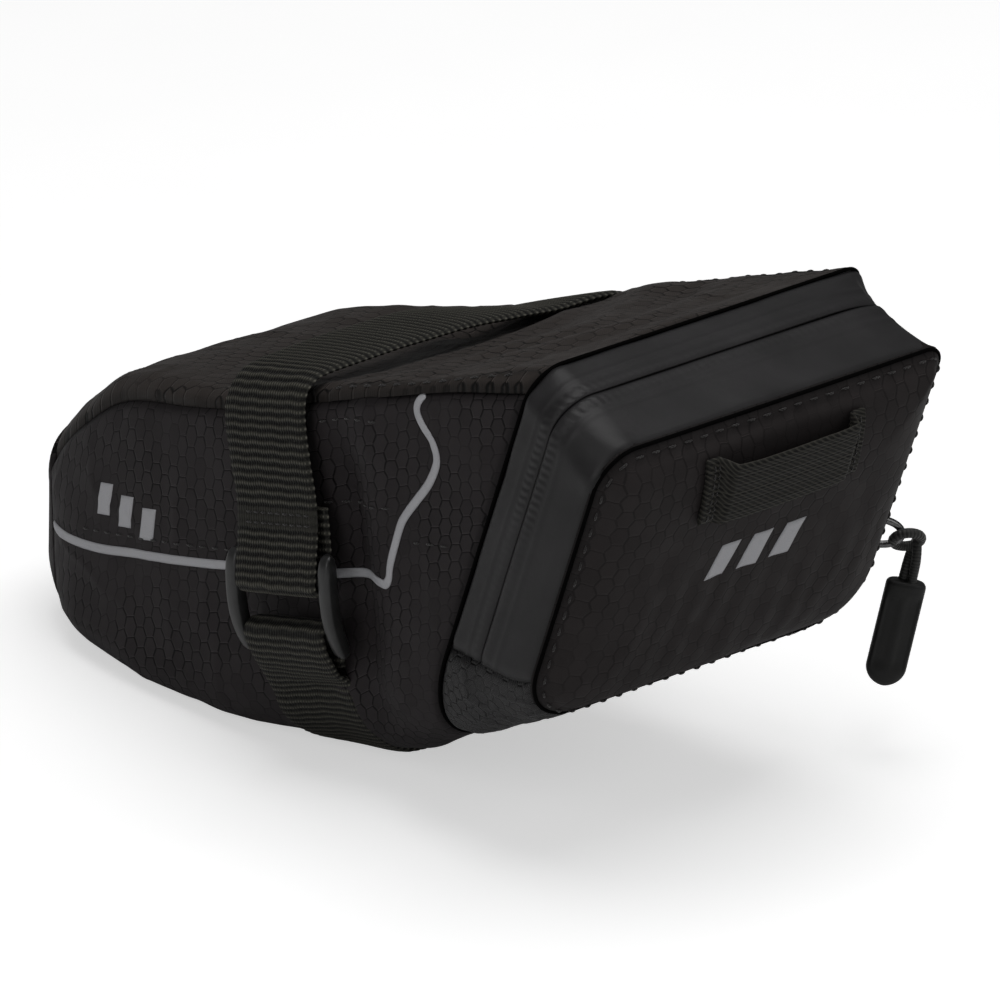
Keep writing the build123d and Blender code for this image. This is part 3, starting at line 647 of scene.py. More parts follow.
def gusset(f, u):
    """Band between the rear panel's seam (f 0) and the body's seam (f 1)."""
    a = ring(np.array([R0]), u, [5.0])[0]
    b = ring(np.array([R1]), u, [5.0])[0]
    f = np.asarray(f, float)[:, None, None]
    return a[None] * (1 - f) + b[None] * f


def dent(G):
    """The strap presses the cloth down where it lies on it."""
    x, y, z = G[..., 0], G[..., 1], G[..., 2]
    band = smooth(86, 91, y) * (1 - smooth(116, 121, y))
    right = smooth(8, 24, x) * (z > 60)
    return -2.4 * band * right


def cloth_disp(G, seams, pinch=1.0, puff=0.9, seed=0, amp=1.0, width=1.5):
    """Seam pinch, panel puff, puckers along the seams and loose wrinkles."""
    a0, a1, b0, b1 = arcs(G)
    big = np.full(a0.shape, 1e3)
    d = [x + (1 - w) * 5 if w else big for x, w in zip((a0, a1, b0, b1), seams)]
    edge = np.minimum.reduce(d)
    disp = -pinch * np.exp(-(edge / width) ** 2) - 0.3 * pinch * np.exp(-edge / 3.5) + puff * (1 - np.exp(-edge / 11))
    u_edge, v_edge = np.minimum(d[0], d[1]), np.minimum(d[2], d[3])
    disp += 0.34 * amp * n1(b0 / 5.2, seed + 3) * np.exp(-u_edge / 7) * (1 - np.exp(-u_edge / 1.5))
    disp += 0.34 * amp * n1(a0 / 5.2, seed + 5) * np.exp(-v_edge / 7) * (1 - np.exp(-v_edge / 1.5))
    w = vnoise(G / 27.0, seed) * 0.75 + vnoise(G / 11.0, seed + 1) * 0.30 + (1 - np.abs(vnoise(G / 15.0, seed + 2))) ** 5 * 0.35
    disp += amp * w * (1 - np.exp(-edge / 6))
    return disp, edge


def linspan(a, b, step):
    return np.linspace(a, b, max(int(abs(b - a) / step) + 1, 3))


L0, LN = LS[0], 195.0
q_of = lambda q0, q1, step=0.0052: linspan(q0, q1, step)
TOP_Q, LOW_Q = 0.285, 0.80
ls = linspan(L0, LN, 0.85)

pieces = {}
side_grid = {}
for side, sg in (("left", -1), ("right", 1)):
    us = sg * q_of(TOP_Q, LOW_Q)
    G = body(ls, us)
    flip = sg > 0
    n = normals(G, flip)
    if n[50, 30, 0] * sg < 0:
        flip = not flip
        n = -n
    disp, edge = cloth_disp(G, (1, 0.3, 1, 1), pinch=0.9, puff=1.1, seed=11 if sg < 0 else 23)
    # a long soft crease runs down from the strap, and the cloth is drawn in behind the buckle
    y, z = G[..., 1], G[..., 2]
    disp += -2.6 * np.exp(-(((y - 80.5 - (z - 50) * 0.08) / 6) ** 2)) * smooth(8, 30, z) * (1 - smooth(70, 88, z))
    disp += 0.9 * np.exp(-(((y - 68 - (z - 50) * 0.15) / 6) ** 2)) * smooth(12, 40, z)
    disp = np.clip(disp, -3.2, 2.0)
    G = G + n * disp[..., None]
    a0, _, b0, _ = arcs(G)
    pat = np.stack([G[..., 1], b0], -1)
    o = shell(f"{side}_side_cloth", G, 1.6, M_SIDE, pat, edge, flip)
    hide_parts(f"{side}_side_panel")
    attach(o, "bag")
    side_grid[sg] = (G, normals(G, flip), flip)

us = np.concatenate([-q_of(TOP_Q, 0)[:-1], q_of(0, TOP_Q)])
G = body(ls, us)
flip = normals(G)[60, len(us) // 2, 2] < 0
n = normals(G, flip)
disp, edge = cloth_disp(G, (1, 0.3, 1, 1), pinch=0.8, puff=0.8, seed=31, amp=1.25)
hem = smooth(0.243, 0.248, np.abs(us))[None, :] * (1 - smooth(86, 88, G[..., 1]))
# the cloth over the top is loose and ripples across behind the strap
ry = np.sin((G[..., 1] - 0.25 * np.abs(G[..., 0])) / 3.1 + 2.0 * vnoise(G / 20.0, 8))
disp += 0.55 * ry * smooth(28, 40, G[..., 1]) * (1 - smooth(84, 92, G[..., 1])) * (1 - smooth(0.17, 0.25, np.abs(us)))[None, :]
disp += 0.45 * hem
disp = np.clip(disp, -2.2, 2.0) + dent(G)
G = G + n * disp[..., None]
_, _, b0, _ = arcs(G)
# the hem line joins the edge distance, so the painted seam shade darkens along the hem too
hem_edge = np.where(np.abs(us) > 0.22, np.abs(np.abs(us) - 0.2455) * 175, 9.0)[None, :] + 0 * edge
edge2 = np.where(G[..., 1] < 86, np.minimum(edge, 0.6 + hem_edge), edge)
o = shell("top_cloth", G, 1.6, M_TOP_PAINTED_LIT, np.stack([G[..., 0], G[..., 1]], -1), edge2, flip)
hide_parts("top_panel")
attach(o, "bag")
top_G, top_N = G, normals(G, flip)

us = np.concatenate([q_of(LOW_Q, 1)[:-1], -q_of(1, LOW_Q)])
G = body(ls, us)
flip = normals(G)[60, len(us) // 2, 2] > 0
n = normals(G, flip)
disp, edge = cloth_disp(G, (1, 1, 1, 1), pinch=0.5, puff=0.0, seed=41, amp=0.35)
disp = np.minimum(disp, 0.0)
G = G + n * disp[..., None]
o = shell("bottom_cloth", G, 1.6, M_SIDE, np.stack([G[..., 0], G[..., 1]], -1), edge, flip)
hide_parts("bottom_panel")
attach(o, "bag")

# nose: closed rings that run in to a small cap
ln = np.concatenate([linspan(LN, 201.5, 0.7), linspan(201.5, LS[-1], 0.45)[1:]])
us = np.concatenate([-q_of(1, 0, 0.006)[:-1], q_of(0, 1, 0.006)[:-1]])
G = body(ln, us)
flip = False
if (normals(G, False, True)[8, 30] * (G[8, 30] - np.array([0, 185, 30]))).sum() < 0:
    flip = True
n = normals(G, flip, True)
e = np.linalg.norm(np.diff(G, axis=0), axis=-1)
e = np.concatenate([np.zeros((1, G.shape[1])), np.cumsum(e, 0)])
disp = 0.45 - 0.2 * np.exp(-(e / 0.8) ** 2) + 0.2 * (1 - np.exp(-e / 9)) + 0.5 * vnoise(G / 17.0, 51) * (1 - np.exp(-e / 5))
disp *= 1 - smooth(203, LS[-1], ln)[:, None]
disp = np.where(G[..., 2] < 2, np.minimum(disp, 0), disp)
G = G + n * disp[..., None]
nu, nv = G.shape[:2]
inner = G - n * 1.6
V = np.concatenate([G.reshape(-1, 3), inner.reshape(-1, 3), [G[-1].mean(0), inner[-1].mean(0)]])
F = grid_faces(nu, nv, 0, flip, close_v=True) + grid_faces(nu, nv, nu * nv, not flip, close_v=True)
c0, c1 = 2 * nu * nv, 2 * nu * nv + 1
for j in range(nv):
    j2 = (j + 1) % nv
    a, b = (nu - 1) * nv + j, (nu - 1) * nv + j2
    F.append([c0, b, a] if flip else [c0, a, b])
    F.append([c1, a + nu * nv, b + nu * nv] if flip else [c1, b + nu * nv, a + nu * nv])
    F.append([j, j2, j2 + nu * nv, j + nu * nv] if flip else [j, j + nu * nv, j2 + nu * nv, j2])
pn = np.zeros((len(V), 3))
ang = np.arctan2(V[:, 0], np.maximum(V[:, 1] - 168, 1.0))
pn[:, 0] = -30 * np.abs(ang) + 222
pn[:, 1] = V[:, 2] * 1.08
ee = np.concatenate([e.reshape(-1) + 1.5, e.reshape(-1) + 1.5, [20, 20]])
o = mk("nose_cloth", V, F, M_SIDE, [("pat", pn), ("edge", ee)])
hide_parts("nose_panel")
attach(o, "bag")

# ------------------------------------------------------------------ gusset: zip band, patches
F_ZIP0, F_ZIP1 = 0.597, 0.603


def q_low(f):
    return np.interp(f, [0, 0.212, 0.57, 1.0], [0.640, 0.636, 0.619, 0.606])


def gusset_patch(f, w0, w1, nu_, closed_top=True):
    """Grid with axis 0 along the ring (w from w0 to w1, in units of the band's own end) and axis 1 along the depth."""
    w = np.linspace(w0, w1, nu_)
    U = w[:, None] * q_low(f)[None, :]
    a = ring(np.array([R0]), U, [5.0])
    b = ring(np.array([R1]), U, [5.0])
    ff = f[None, :, None]
    return a * (1 - ff) + b * ff, w


def out_normals(G):
    n = normals(G)
    c = np.array([0, 22, 60.0])
    k = G.shape[0] // 2
    flip = (n[k, G.shape[1] // 2] * (G[k, G.shape[1] // 2] - c)).sum() < 0
    return (-n if flip else n), flip


def band(name, f0, f1, zip_at_high, seed):
    f = np.concatenate([np.linspace(f0, f1, 34)])
    # more rows next to the zip
    t = np.linspace(0, 1, 34)
    t = t + 0.12 * np.sin(2 * math.pi * t) / 2
    f = f0 + (f1 - f0) * t
    G, w = gusset_patch(f, -1, 1, 420)
    n, flip = out_normals(G)
    a0, a1, b0, b1 = arcs(G)
    zd = b1 if zip_at_high else b0
    sd = b0 if zip_at_high else b1
    disp = 0.55 * np.sin(np.clip(sd / np.maximum(sd + zd, 1e-6), 0, 1) * math.pi / 2) ** 0.8   # rises from the seam to the zip
    disp += -0.75 * np.exp(-(sd / 0.9) ** 2)
    disp += 0.28 * np.exp(-((zd - 1.6) / 1.3) ** 2) - 0.22 * np.exp(-(zd / 0.35) ** 2)
    disp += 0.16 * np.exp(-((zd - 4.6) / 0.7) ** 2)
    disp += 0.25 * n1(a0 / 9.0, seed) * np.exp(-sd / 6) + 0.35 * vnoise(G / 24.0, seed) * smooth(0, 5, sd)
    disp += -0.5 * np.exp(-(np.minimum(a0, a1) / 1.6) ** 2)
    # the flat band buckles a little where it turns the top corners
    corner = np.exp(-(((np.abs(w) * 0.61 - 0.26) / 0.035) ** 2))[:, None]
    disp += corner * (0.5 * np.sin(a0 / 1.9 + 1.1 * vnoise(G / 9.0, seed + 4)) * np.exp(-sd / 7) + 0.25)
    # the far top corner is drawn in between the two seams
    disp += -4.2 * np.exp(-(((w * 0.62 - 0.262) / 0.05) ** 2))[:, None] * (np.sin(math.pi * np.clip(f, 0.02, 0.98)) ** 0.75)[None, :]
    G = G + n * disp[..., None]
    edge = np.minimum(sd, np.minimum(a0, a1))
    return shell(name, G, 1.5, M_BAND, np.stack([a0, b0], -1), edge, flip, extra=[("zipd", zd)]), G, normals(G, flip), w


# the lid's hinge runs along here, between these two points on the rear panel
BL0, BL1 = row(P3(0, 66, 0)), row(P3(0, 55, 0))


def lidded(o):
    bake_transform(o)
    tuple(BL0)
    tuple(BL1)


o, rear_band_G, rear_band_N, w_band = band("zip_band_rear_cloth", 0.0, F_ZIP0, True, 61)
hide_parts("zip_band_rear")
lidded(o)
o, front_band_G, front_band_N, _ = band("zip_band_front_cloth", F_ZIP1, 1.0, False, 71)
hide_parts("zip_band_front")
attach(o, "bag")

# lower gusset: patches at the corners and the strip under the lid
for side, sg in (("left", -1), ("right", 1)):
    f = np.linspace(0, 1, 40)
    v = np.linspace(0, 1, 66)
    U = sg * (q_low(f)[None, :] * (1 - v[:, None]) + 0.80 * v[:, None])
    a, b = ring(np.array([R0]), U, [5.0]), ring(np.array([R1]), U, [5.0])
    G = a * (1 - f[None, :, None]) + b * f[None, :, None]
    n = normals(G)
    flip = (n[20, 20] * (G[20, 20] - np.array([0, 40, 40.0]))).sum() < 0
    n = -n if flip else n
    disp, edge = cloth_disp(G, (1, 1, 1, 1), pinch=0.8, puff=0.9, seed=81 + sg, amp=0.8, width=1.1)
    disp += 0.45 * (1 - np.abs(vnoise(G / 5.5, 85))) ** 4 * (1 - np.exp(-edge / 2))
    disp += 0.35 * np.sin(G[..., 1] / 2.3 + G[..., 2] / 5.0) * np.exp(-arcs(G)[0] / 12) * (1 - np.exp(-edge / 3))
    G = G + n * disp[..., None]
    a0, _, b0, _ = arcs(G)
    o = shell(f"{side}_corner_cloth", G, 1.5, M_PATCH, np.stack([b0, a0], -1), edge, flip)
    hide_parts(f"{side}_corner_patch")
    lidded(o)
us = np.concatenate([q_of(0.80, 1)[:-1], -q_of(1, 0.80)])
f = np.linspace(0, 1, 36)
G = gusset(f, us)
flip = normals(G)[10, len(us) // 2, 2] > 0
n = normals(G, flip)
disp, edge = cloth_disp(G, (1, 1, 1, 1), pinch=0.7, puff=0.6, seed=91, amp=0.6)
G = G + n * disp[..., None]
a0, _, b0, _ = arcs(G)
o = shell("lower_gusset_cloth", G, 1.5, M_SIDE, np.stack([b0, a0], -1), edge, flip)
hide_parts("lower_gusset")
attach(o, "bag")

# painted shadow: a thin near-black cord sits in each seam of the band and stands for the shadow in the seam groove
kb = NT("seam_shadow_cord")
vb = kb.attr("pat")
gb = kb.noise(vb, 1.4, 3, 0.7)
M_SEAM_SHADOW = kb.done(kb.mix(gb, (0.0006, 0.0006, 0.0006, 1), (0.0022, 0.002, 0.002, 1)), kb.math("ADD", kb.math("MULTIPLY", gb, 0.15), 0.8), kb.bump(gb, 0.0001, 0.6), spec=0.03)
ub = np.concatenate([-q_of(0.995, 0, 0.004)[:-1], q_of(0, 0.995, 0.004)])
for tag, sec, inward in (("rear", R0, 0.0), ("front", R1, 0.0)):
    p = ring(np.array([sec]), ub, [5.0])[0]
    c = p - p.mean(0)
    c /= np.linalg.norm(c, axis=1, keepdims=True)
    p = p - c * 0.45
    o = sweep(f"{tag}_seam_shadow_cord", p, circle(0.42, 10), M_SEAM_SHADOW)
    if tag == "rear":
        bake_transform(o)
        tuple(BL0)
        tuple(BL1)
    else:
        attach(o, "bag")

# ------------------------------------------------------------------ zip coil: one small hook per tooth on each side
def coil(name, G, N, at_high, mat, replace, lid):
    edge_line = G[:, -1 if at_high else 0]
    nn = N[:, -3 if at_high else 2]
    into = G[:, -6 if at_high else 5] - edge_line
    into -= nn * (into * nn).sum(1, keepdims=True)
    into /= np.linalg.norm(into, axis=1, keepdims=True)
    s = np.concatenate([[0], np.cumsum(np.linalg.norm(np.diff(edge_line, axis=0), axis=1))])
    V, F = [], []
    m, k = 6, 8
    at = 0.8 + (0.0 if at_high else 0.7)
    while at < s[-1] - 0.8:
        pick = lambda A: np.array([np.interp(at, s, A[:, i]) for i in range(3)])
        c, no, ii = pick(edge_line), pick(nn), pick(into)
        tt = np.cross(no, ii)
        # each tooth is a short loop of monofilament below the band's edge
        ang = np.linspace(-0.25 * math.pi, 1.25 * math.pi, k)
        pts = (c - no * 2.35)[None] + ii[None] * (0.75 + 0.0 - 1.05 * np.sin(ang))[:, None] + no[None] * (0.62 * np.cos(ang))[:, None]
        off = len(V)
        t = np.gradient(pts, axis=0)
        t /= np.linalg.norm(t, axis=1, keepdims=True)
        b = np.cross(t, tt)
        a = np.arange(m) / m * 2 * math.pi
        Gt = pts[:, None] + 0.34 * (np.cos(a)[None, :, None] * tt[None, None] + np.sin(a)[None, :, None] * b[:, None])
        V += Gt.reshape(-1, 3).tolist()
        F += grid_faces(k, m, off, False, close_v=True)
        F.append([off + i for i in range(m)][::-1])
        F.append([off + (k - 1) * m + i for i in range(m)])
        at += 1.4
    o = mk(name, V, F, mat, [("pat", np.zeros((len(V), 3)))])
    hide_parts(replace)
    if lid:
        lidded(o)
    else:
        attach(o, "bag")
    return o


coil("zip_teeth_rear", rear_band_G, rear_band_N, True, M_COIL, "zip_coil_rear", True)
coil("zip_teeth_front", front_band_G, front_band_N, False, M_COIL, "zip_coil_front", False)

# ------------------------------------------------------------------ rear panel
W_P, T_P = 47.0, 71.0


def inset_of(x, t):
    """Distance inside the panel's rounded outline."""
    hx, ht = W_P, T_P / 2
    px, pt = np.abs(x), t - T_P / 2
    r = np.where(pt < 0, np.where(x > 0, 5.0, 9.0), 15.0)
    qx, qt = px - (hx - r), np.abs(pt) - (ht - r)
    sd = np.hypot(np.maximum(qx, 0), np.maximum(qt, 0)) + np.minimum(np.maximum(qx, qt), 0) - r
    return -sd


def x_max(t, right):
    r = 5.0 if right else 9.0
    t = np.asarray(t, float)
    top = np.where(t < r, W_P - r + np.sqrt(np.maximum(r * r - (r - t) ** 2, 0)), W_P)
    rb = 15.0
    low = np.where(t > T_P - rb, W_P - rb + np.sqrt(np.maximum(rb * rb - (t - (T_P - rb)) ** 2, 0)), W_P)
    return np.minimum(top, low)


def rear_d(x, t):
    i = np.maximum(inset_of(x, t), 0)
    d = 0.7 - 7.6 * (1 - np.exp(-i / 5.6))
    p = np.stack([x, t, 0 * x], -1)
    d -= (vnoise(p / 24.0, 101) * 0.55 + vnoise(p / 10.0, 102) * 0.22) * (1 - np.exp(-i / 6))
    d -= 0.30 * n1((np.arctan2(t - 35, x) * 38) / 5.5, 103) * np.exp(-i / 6) * (1 - np.exp(-i / 1.5))
    # the two seam runs pull a shallow channel just inside the edge
    d += 0.45 * np.exp(-((i - 3.0) / 0.8) ** 2)
    # faint upright folds, as in the soft panel
    d -= 0.16 * np.sin(x / 1.25 + 1.5 * vnoise(p / 14.0, 104)) * smooth(4, 12, i) * smooth(20, 45, t)
    return d


ta = np.linspace(0, 1, 108)
tt = T_P * (0.55 * ta + 0.45 * (1 - np.cos(math.pi * ta)) / 2)
aa = np.linspace(-1, 1, 134)
aa = np.sign(aa) * (0.75 * np.abs(aa) + 0.25 * np.sin(np.abs(aa) * math.pi / 2))
T, A = np.meshgrid(tt, aa, indexing="ij")
X = np.where(A > 0, A * x_max(T, True), A * x_max(T, False))
G = P3(X, T, rear_d(X, T))
flip = normals(G)[50, 60, 1] > 0
edge = np.maximum(inset_of(X, T), 0)
o = shell("rear_panel_cloth", G, 1.5, M_REAR, np.stack([X, T], -1), edge, flip)
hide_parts("rear_panel", "rear_panel_lower")
lidded(o)


def on_rear(x, t, lift):
    x, t = np.asarray(x, float), np.asarray(t, float)
    e = 0.6
    p = P3(x, t, rear_d(x, t))
    px = P3(x + e, t, rear_d(x + e, t)) - P3(x - e, t, rear_d(x - e, t))
    pt = P3(x, t + e, rear_d(x, t + e)) - P3(x, t - e, rear_d(x, t - e))
    n = np.cross(pt, px)
    n /= np.linalg.norm(n, axis=-1, keepdims=True)
    n = np.where((n[..., 1:2] > 0), -n, n)
    return p + n * np.asarray(lift)[..., None] if np.ndim(lift) else p + n * lift, n


# lock stitch inside the seam
def outline(inset):
    pts = []
    for (cx, ct, r, a0, a1) in ((W_P - 5, 5, 5, -90, 0), (W_P - 15, T_P - 15, 15, 0, 90), (-(W_P - 15), T_P - 15, 15, 90, 180), (-(W_P - 9), 9, 9, 180, 270)):
        rr = max(r - inset, 0.6)
        k = inset if r - inset >= 0.6 else r - 0.6
        off = inset - k
        for a in np.radians(np.linspace(a0, a1, 8)):
            pts.append((cx + rr * math.cos(a) - math.copysign(off, cx), ct + rr * math.sin(a) - math.copysign(off, ct - 35)))
    pts.append(pts[0])
    p = np.array(pts)
    s = np.concatenate([[0], np.cumsum(np.linalg.norm(np.diff(p, axis=0), axis=1))])
    u = np.linspace(0, s[-1], 420)
    return np.interp(u, s, p[:, 0]), np.interp(u, s, p[:, 1])


ox, ot = outline(1.75)
pp, nn = on_rear(ox, ot, 0.0)
o = stitches("rear_panel_stitches", pp, nn, M_THREAD, pitch=4.3, length=2.0, r=0.26, lift=0.2)
lidded(o)

# padded lining inside the lid
ta = np.linspace(0, 1, 60)
T, A = np.meshgrid(6 + 50 * ta, np.linspace(-38, 38, 84), indexing="ij")
i = np.minimum.reduce([T - 6, 56 - T, 38 - np.abs(A)])
q = 0.5 * np.cos(2 * math.pi * (A + T) / 19) * np.cos(2 * math.pi * (A - T) / 19)
d_in = 1.5 + 1.2 * (1 - np.exp(-i / 3)) + 0.35 * q * (1 - np.exp(-i / 4))
G = P3(A, T, d_in)
flip = normals(G)[30, 40, 1] < 0
o = shell("lid_lining", G, 1.1, M_LINING, np.stack([A, T], -1), i + 0.4, flip)
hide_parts("rear_panel_foam")
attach(o, "lid")


# ------------------------------------------------------------------ webbing
def ribbon(name, L3, mat, rib=1.75, amp=0.17, flat_zones=(), lengthwise=False, thick=1.45):
    """Webbing through a grid of centre points L3 (n, m, 3): n along, m across."""
    n = normals(L3)
    nu, nv = L3.shape[:2]
    a0, _, b0, b1 = arcs(L3)
    w = b0 + b1
    cross = b0 / w * 2 - 1
    # thickness tapers to a rounded selvedge
    half = thick / 2 * np.sqrt(np.maximum(0, 1 - np.abs(cross) ** 16))
    if lengthwise:
        wave = np.cos(2 * math.pi * b0 / rib)
        k = amp * wave
    else:
        ph = a0 + 0.10 * np.sin(2 * math.pi * b0 / 6.0) + 0.12 * vnoise(L3 / 6.0, 7)
        wave = np.cos(2 * math.pi * ph / rib)
        k = amp * wave
        for s0, s1 in flat_zones:
            inside = smooth(s0 - 0.8, s0 + 0.2, a0) * (1 - smooth(s1 - 0.2, s1 + 0.8, a0))
            k = k * (1 - 0.8 * inside)
            wave = wave * (1 - 0.8 * inside)
    taper = 1 - np.abs(cross) ** 10
    up = L3 + n * (half + k * taper)[..., None]
    dn = L3 - n * (half + k * taper)[..., None]
    N = nu * nv
    # scalloped edge: each rib's weft turns round the selvedge
    across = np.gradient(L3, axis=1)
    across /= np.linalg.norm(across, axis=-1, keepdims=True)
    lip = (0.16 * wave * np.abs(cross) ** 12 * np.sign(cross))[..., None] * across
    V = np.concatenate([(up + lip).reshape(-1, 3), (dn + lip).reshape(-1, 3)])
    F = grid_faces(nu, nv, 0, False) + grid_faces(nu, nv, N, True)
    loop = ([i * nv for i in range(nu)] + [(nu - 1) * nv + j for j in range(1, nv)]
            + [i * nv + nv - 1 for i in range(nu - 2, -1, -1)] + list(range(nv - 2, 0, -1)))
    for a, b in zip(loop, loop[1:] + loop[:1]):
        F.append([a, a + N, b + N, b])
    pat = np.stack([a0, b0, 0 * a0], -1).reshape(-1, 3)
    o = mk(name, V, F, mat, [("pat", np.concatenate([pat, pat + [0, 0, 3]])), ("rib", np.tile(wave.reshape(-1), 2)),
                             ("edge", np.tile((np.minimum(b0, b1)).reshape(-1), 2))])
    return o, float(a0.max()), up, n


def cross_positions(m=25, w=25.0):
    v = np.linspace(-1, 1, m)
    return np.sign(v) * (0.8 * np.abs(v) + 0.2 * np.sin(np.abs(v) * math.pi / 2)) * w / 2


def loop_round(cx, cz, r, a0, a1, k=7):
    """Points (x, z) round a bar."""
    a = np.radians(np.linspace(a0, a1, k))
    return [(cx + r * math.cos(x), cz + r * math.sin(x)) for x in a]


# upper strap: the stitched tail behind, round the left buckle's bar, over the top, and the same on the right
BT, BLW = (-47.2, 46.4), (-45.0, 34.4)
TILT, YB = 0.24, 96.4
vs = cross_positions()
left_pts = [(-44.9, 62.0, 97.7, TILT), (-45.0, 55.0, 96.8, TILT)]
left_pts += [(x, z, YB, TILT) for x, z in loop_round(*BT, 2.35, 0, -180)]
left_pts += [(-48.7, 52.0, 97.0, TILT), (-47.6, 57.5, 97.8, TILT), (-46.8, 64.0, 99.2, 0.25), (-46.4, 71, 101.3, 0.26), (-46.1, 78, 103.0, 0.28),
             (-45.5, 83.6, 103.6, 0.31), (-43.4, 87.0, 103.6, 0.27), (-39.5, 88.6, 103.6, 0.23)]
mid_pts = [(-28, 89.3, 103.6, 0.205), (-12, 89.5, 103.6, 0.2), (2, 89.0, 103.6, 0.2), (14, 87.1, 103.6, 0.25), (25, 84.9, 103.6, 0.34)]
right_pts = [(36, 83.9, 103.6, 0.395), (41.6, 83.0, 103.6, 0.405), (44.6, 80.9, 103.6, 0.39), (45.8, 77, 103.0, 0.28), (46.2, 71, 101.3, 0.26),
             (46.8, 64.0, 99.2, 0.25), (47.6, 57.5, 97.8, TILT), (48.7, 52.0, 97.0, TILT)]
right_pts += [(-x, z, YB, TILT) for x, z in loop_round(*BT, 2.35, -180, 0)]
right_pts += [(45.0, 55.0, 96.8, TILT), (44.9, 62.0, 97.7, TILT)]
path = np.array(left_pts + mid_pts + right_pts)
pl = catmull(path, 980)
pl[:, 1] += 0.18 * n1(np.linspace(0, 24, len(pl)), 5) * smooth(0, 0.3, np.abs(pl[:, 0]) < 44)
L3 = np.stack([np.broadcast_to(pl[:, 0:1], (len(pl), len(vs))), pl[:, 2:3] + vs[None, :], pl[:, 1:2] - pl[:, 3:4] * vs[None, :]], -1)
# a slight crown across
cr = 0.5 * np.cos(np.clip(vs / 12.5, -1, 1) * math.pi / 2)[None, :] * smooth(80, 88, pl[:, 1])[:, None]
L3[..., 2] += cr
if normals(L3)[len(pl) // 2, 12, 2] < 0:
    L3 = L3[:, ::-1]
S_all = np.concatenate([[0], np.cumsum(np.linalg.norm(np.diff(L3[:, 12], axis=0), axis=1))])
tail = 7.5
zones = []
tz_hits = np.where((np.abs(L3[:, 12, 2] - 59.8) < 1.9) & (np.abs(L3[:, 12, 0]) > 46.6))[0]
left_hits = [k for k in tz_hits if L3[k, 12, 0] < 0]
right_hits = [k for k in tz_hits if L3[k, 12, 0] > 0]
for hits in (left_hits, right_hits):
    if hits:
        zones.append((S_all[min(hits)], S_all[max(hits)]))
o, upper_len, up_top, up_n = ribbon("upper_strap_webbing", L3, M_WEB, flat_zones=zones)
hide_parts("upper_strap")
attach(o, "bag")
UPPER = (o, upper_len)

# bar tack across each tail
for tag, hits in (("left", left_hits), ("right", right_hits)):
    k0 = int(np.median(hits)) if hits else 60
    rows = []
    for dk in (-5, 5):
        line = up_top[k0 + dk]
        nrm = up_n[k0 + dk]
        if nrm[12, 0] * (-1 if tag == "left" else 1) < 0:
            nrm = -nrm
        rows.append((line, nrm))
    for r_i, (line, nrm) in enumerate(rows):
        o = stitches(f"{tag}_strap_tack_{r_i}", line[2:-2], nrm[2:-2], M_THREAD_DARK, pitch=2.3, length=1.7, r=0.22, lift=0.05)
        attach(o, "bag")


# lower strap: from the left buckle's lower bar, down and under the bag, to the right buckle
def lower_line(v):
    y = 98.6 + v
    q = np.concatenate([np.linspace(0.645, 0.80, 9), np.linspace(0.84, 1.0, 5)])
    lg = np.linspace(LS[1] - 12, LS[4], 60)
    rings = ring(pchip(LS, SECT, lg), -q, None)
    base = np.array([[np.interp(y, rings[:, j, 1], rings[:, j, 0]), y, np.interp(y, rings[:, j, 1], rings[:, j, 2])] for j in range(len(q))])
    t = np.gradient(base[:, [0, 2]], axis=0)
    t /= np.linalg.norm(t, axis=1, keepdims=True)
    nx, nz = -t[:, 1], t[:, 0]
    s = np.sign((nx * (base[:, 0]) + nz * (base[:, 2] - 40)))
    off = 1.25
    x, z = base[:, 0] + s * nx * off, base[:, 2] + s * nz * off
    z = np.maximum(z, 0.85)
    pts = [(-41.6, 26.6), (-42.2, 31.0)] + loop_round(*BLW, 2.35, 0, 180) + [(-46.4, 31.0), (-44.4, 27.4), (-42.2, 24.6)]
    half_ = np.array([(a, b) for a, b in pts] + [(a, b) for a, b in zip(x, z)])
    # the buckle hangs tilted, so the strap's rear edge sits higher there
    till = np.concatenate([np.full(len(pts), 1.0), np.clip((z - 4) / 18, 0, 1) * 0.6])
    half_[:, 1] -= TILT * v * till
    yc = np.concatenate([np.full(len(pts) - 1, YB + v), np.array([YB + 0.9 + v]), np.full(len(x), y)])
    yc[len(pts):len(pts) + 4] -= np.array([1.0, 0.6, 0.3, 0.1])
    full = np.vstack([half_, (half_ * [-1, 1])[:-1][::-1]])
    yy = np.concatenate([yc, yc[:-1][::-1]])
    return np.column_stack([full[:, 0], yy, full[:, 1]])


lines = np.stack([lower_line(v) for v in vs], 1)
n_along = 760
ref = lines[:, 12]
s = np.concatenate([[0], np.cumsum(np.linalg.norm(np.diff(ref, axis=0), axis=1))])
L3 = np.stack([catmull(lines[:, j], n_along) for j in range(len(vs))], 1)
if normals(L3)[n_along // 2, 12, 2] > 0:
    L3 = L3[:, ::-1]
o, lower_len, _, _ = ribbon("lower_strap_webbing", L3, M_WEB)
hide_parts("lower_strap")
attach(o, "bag")

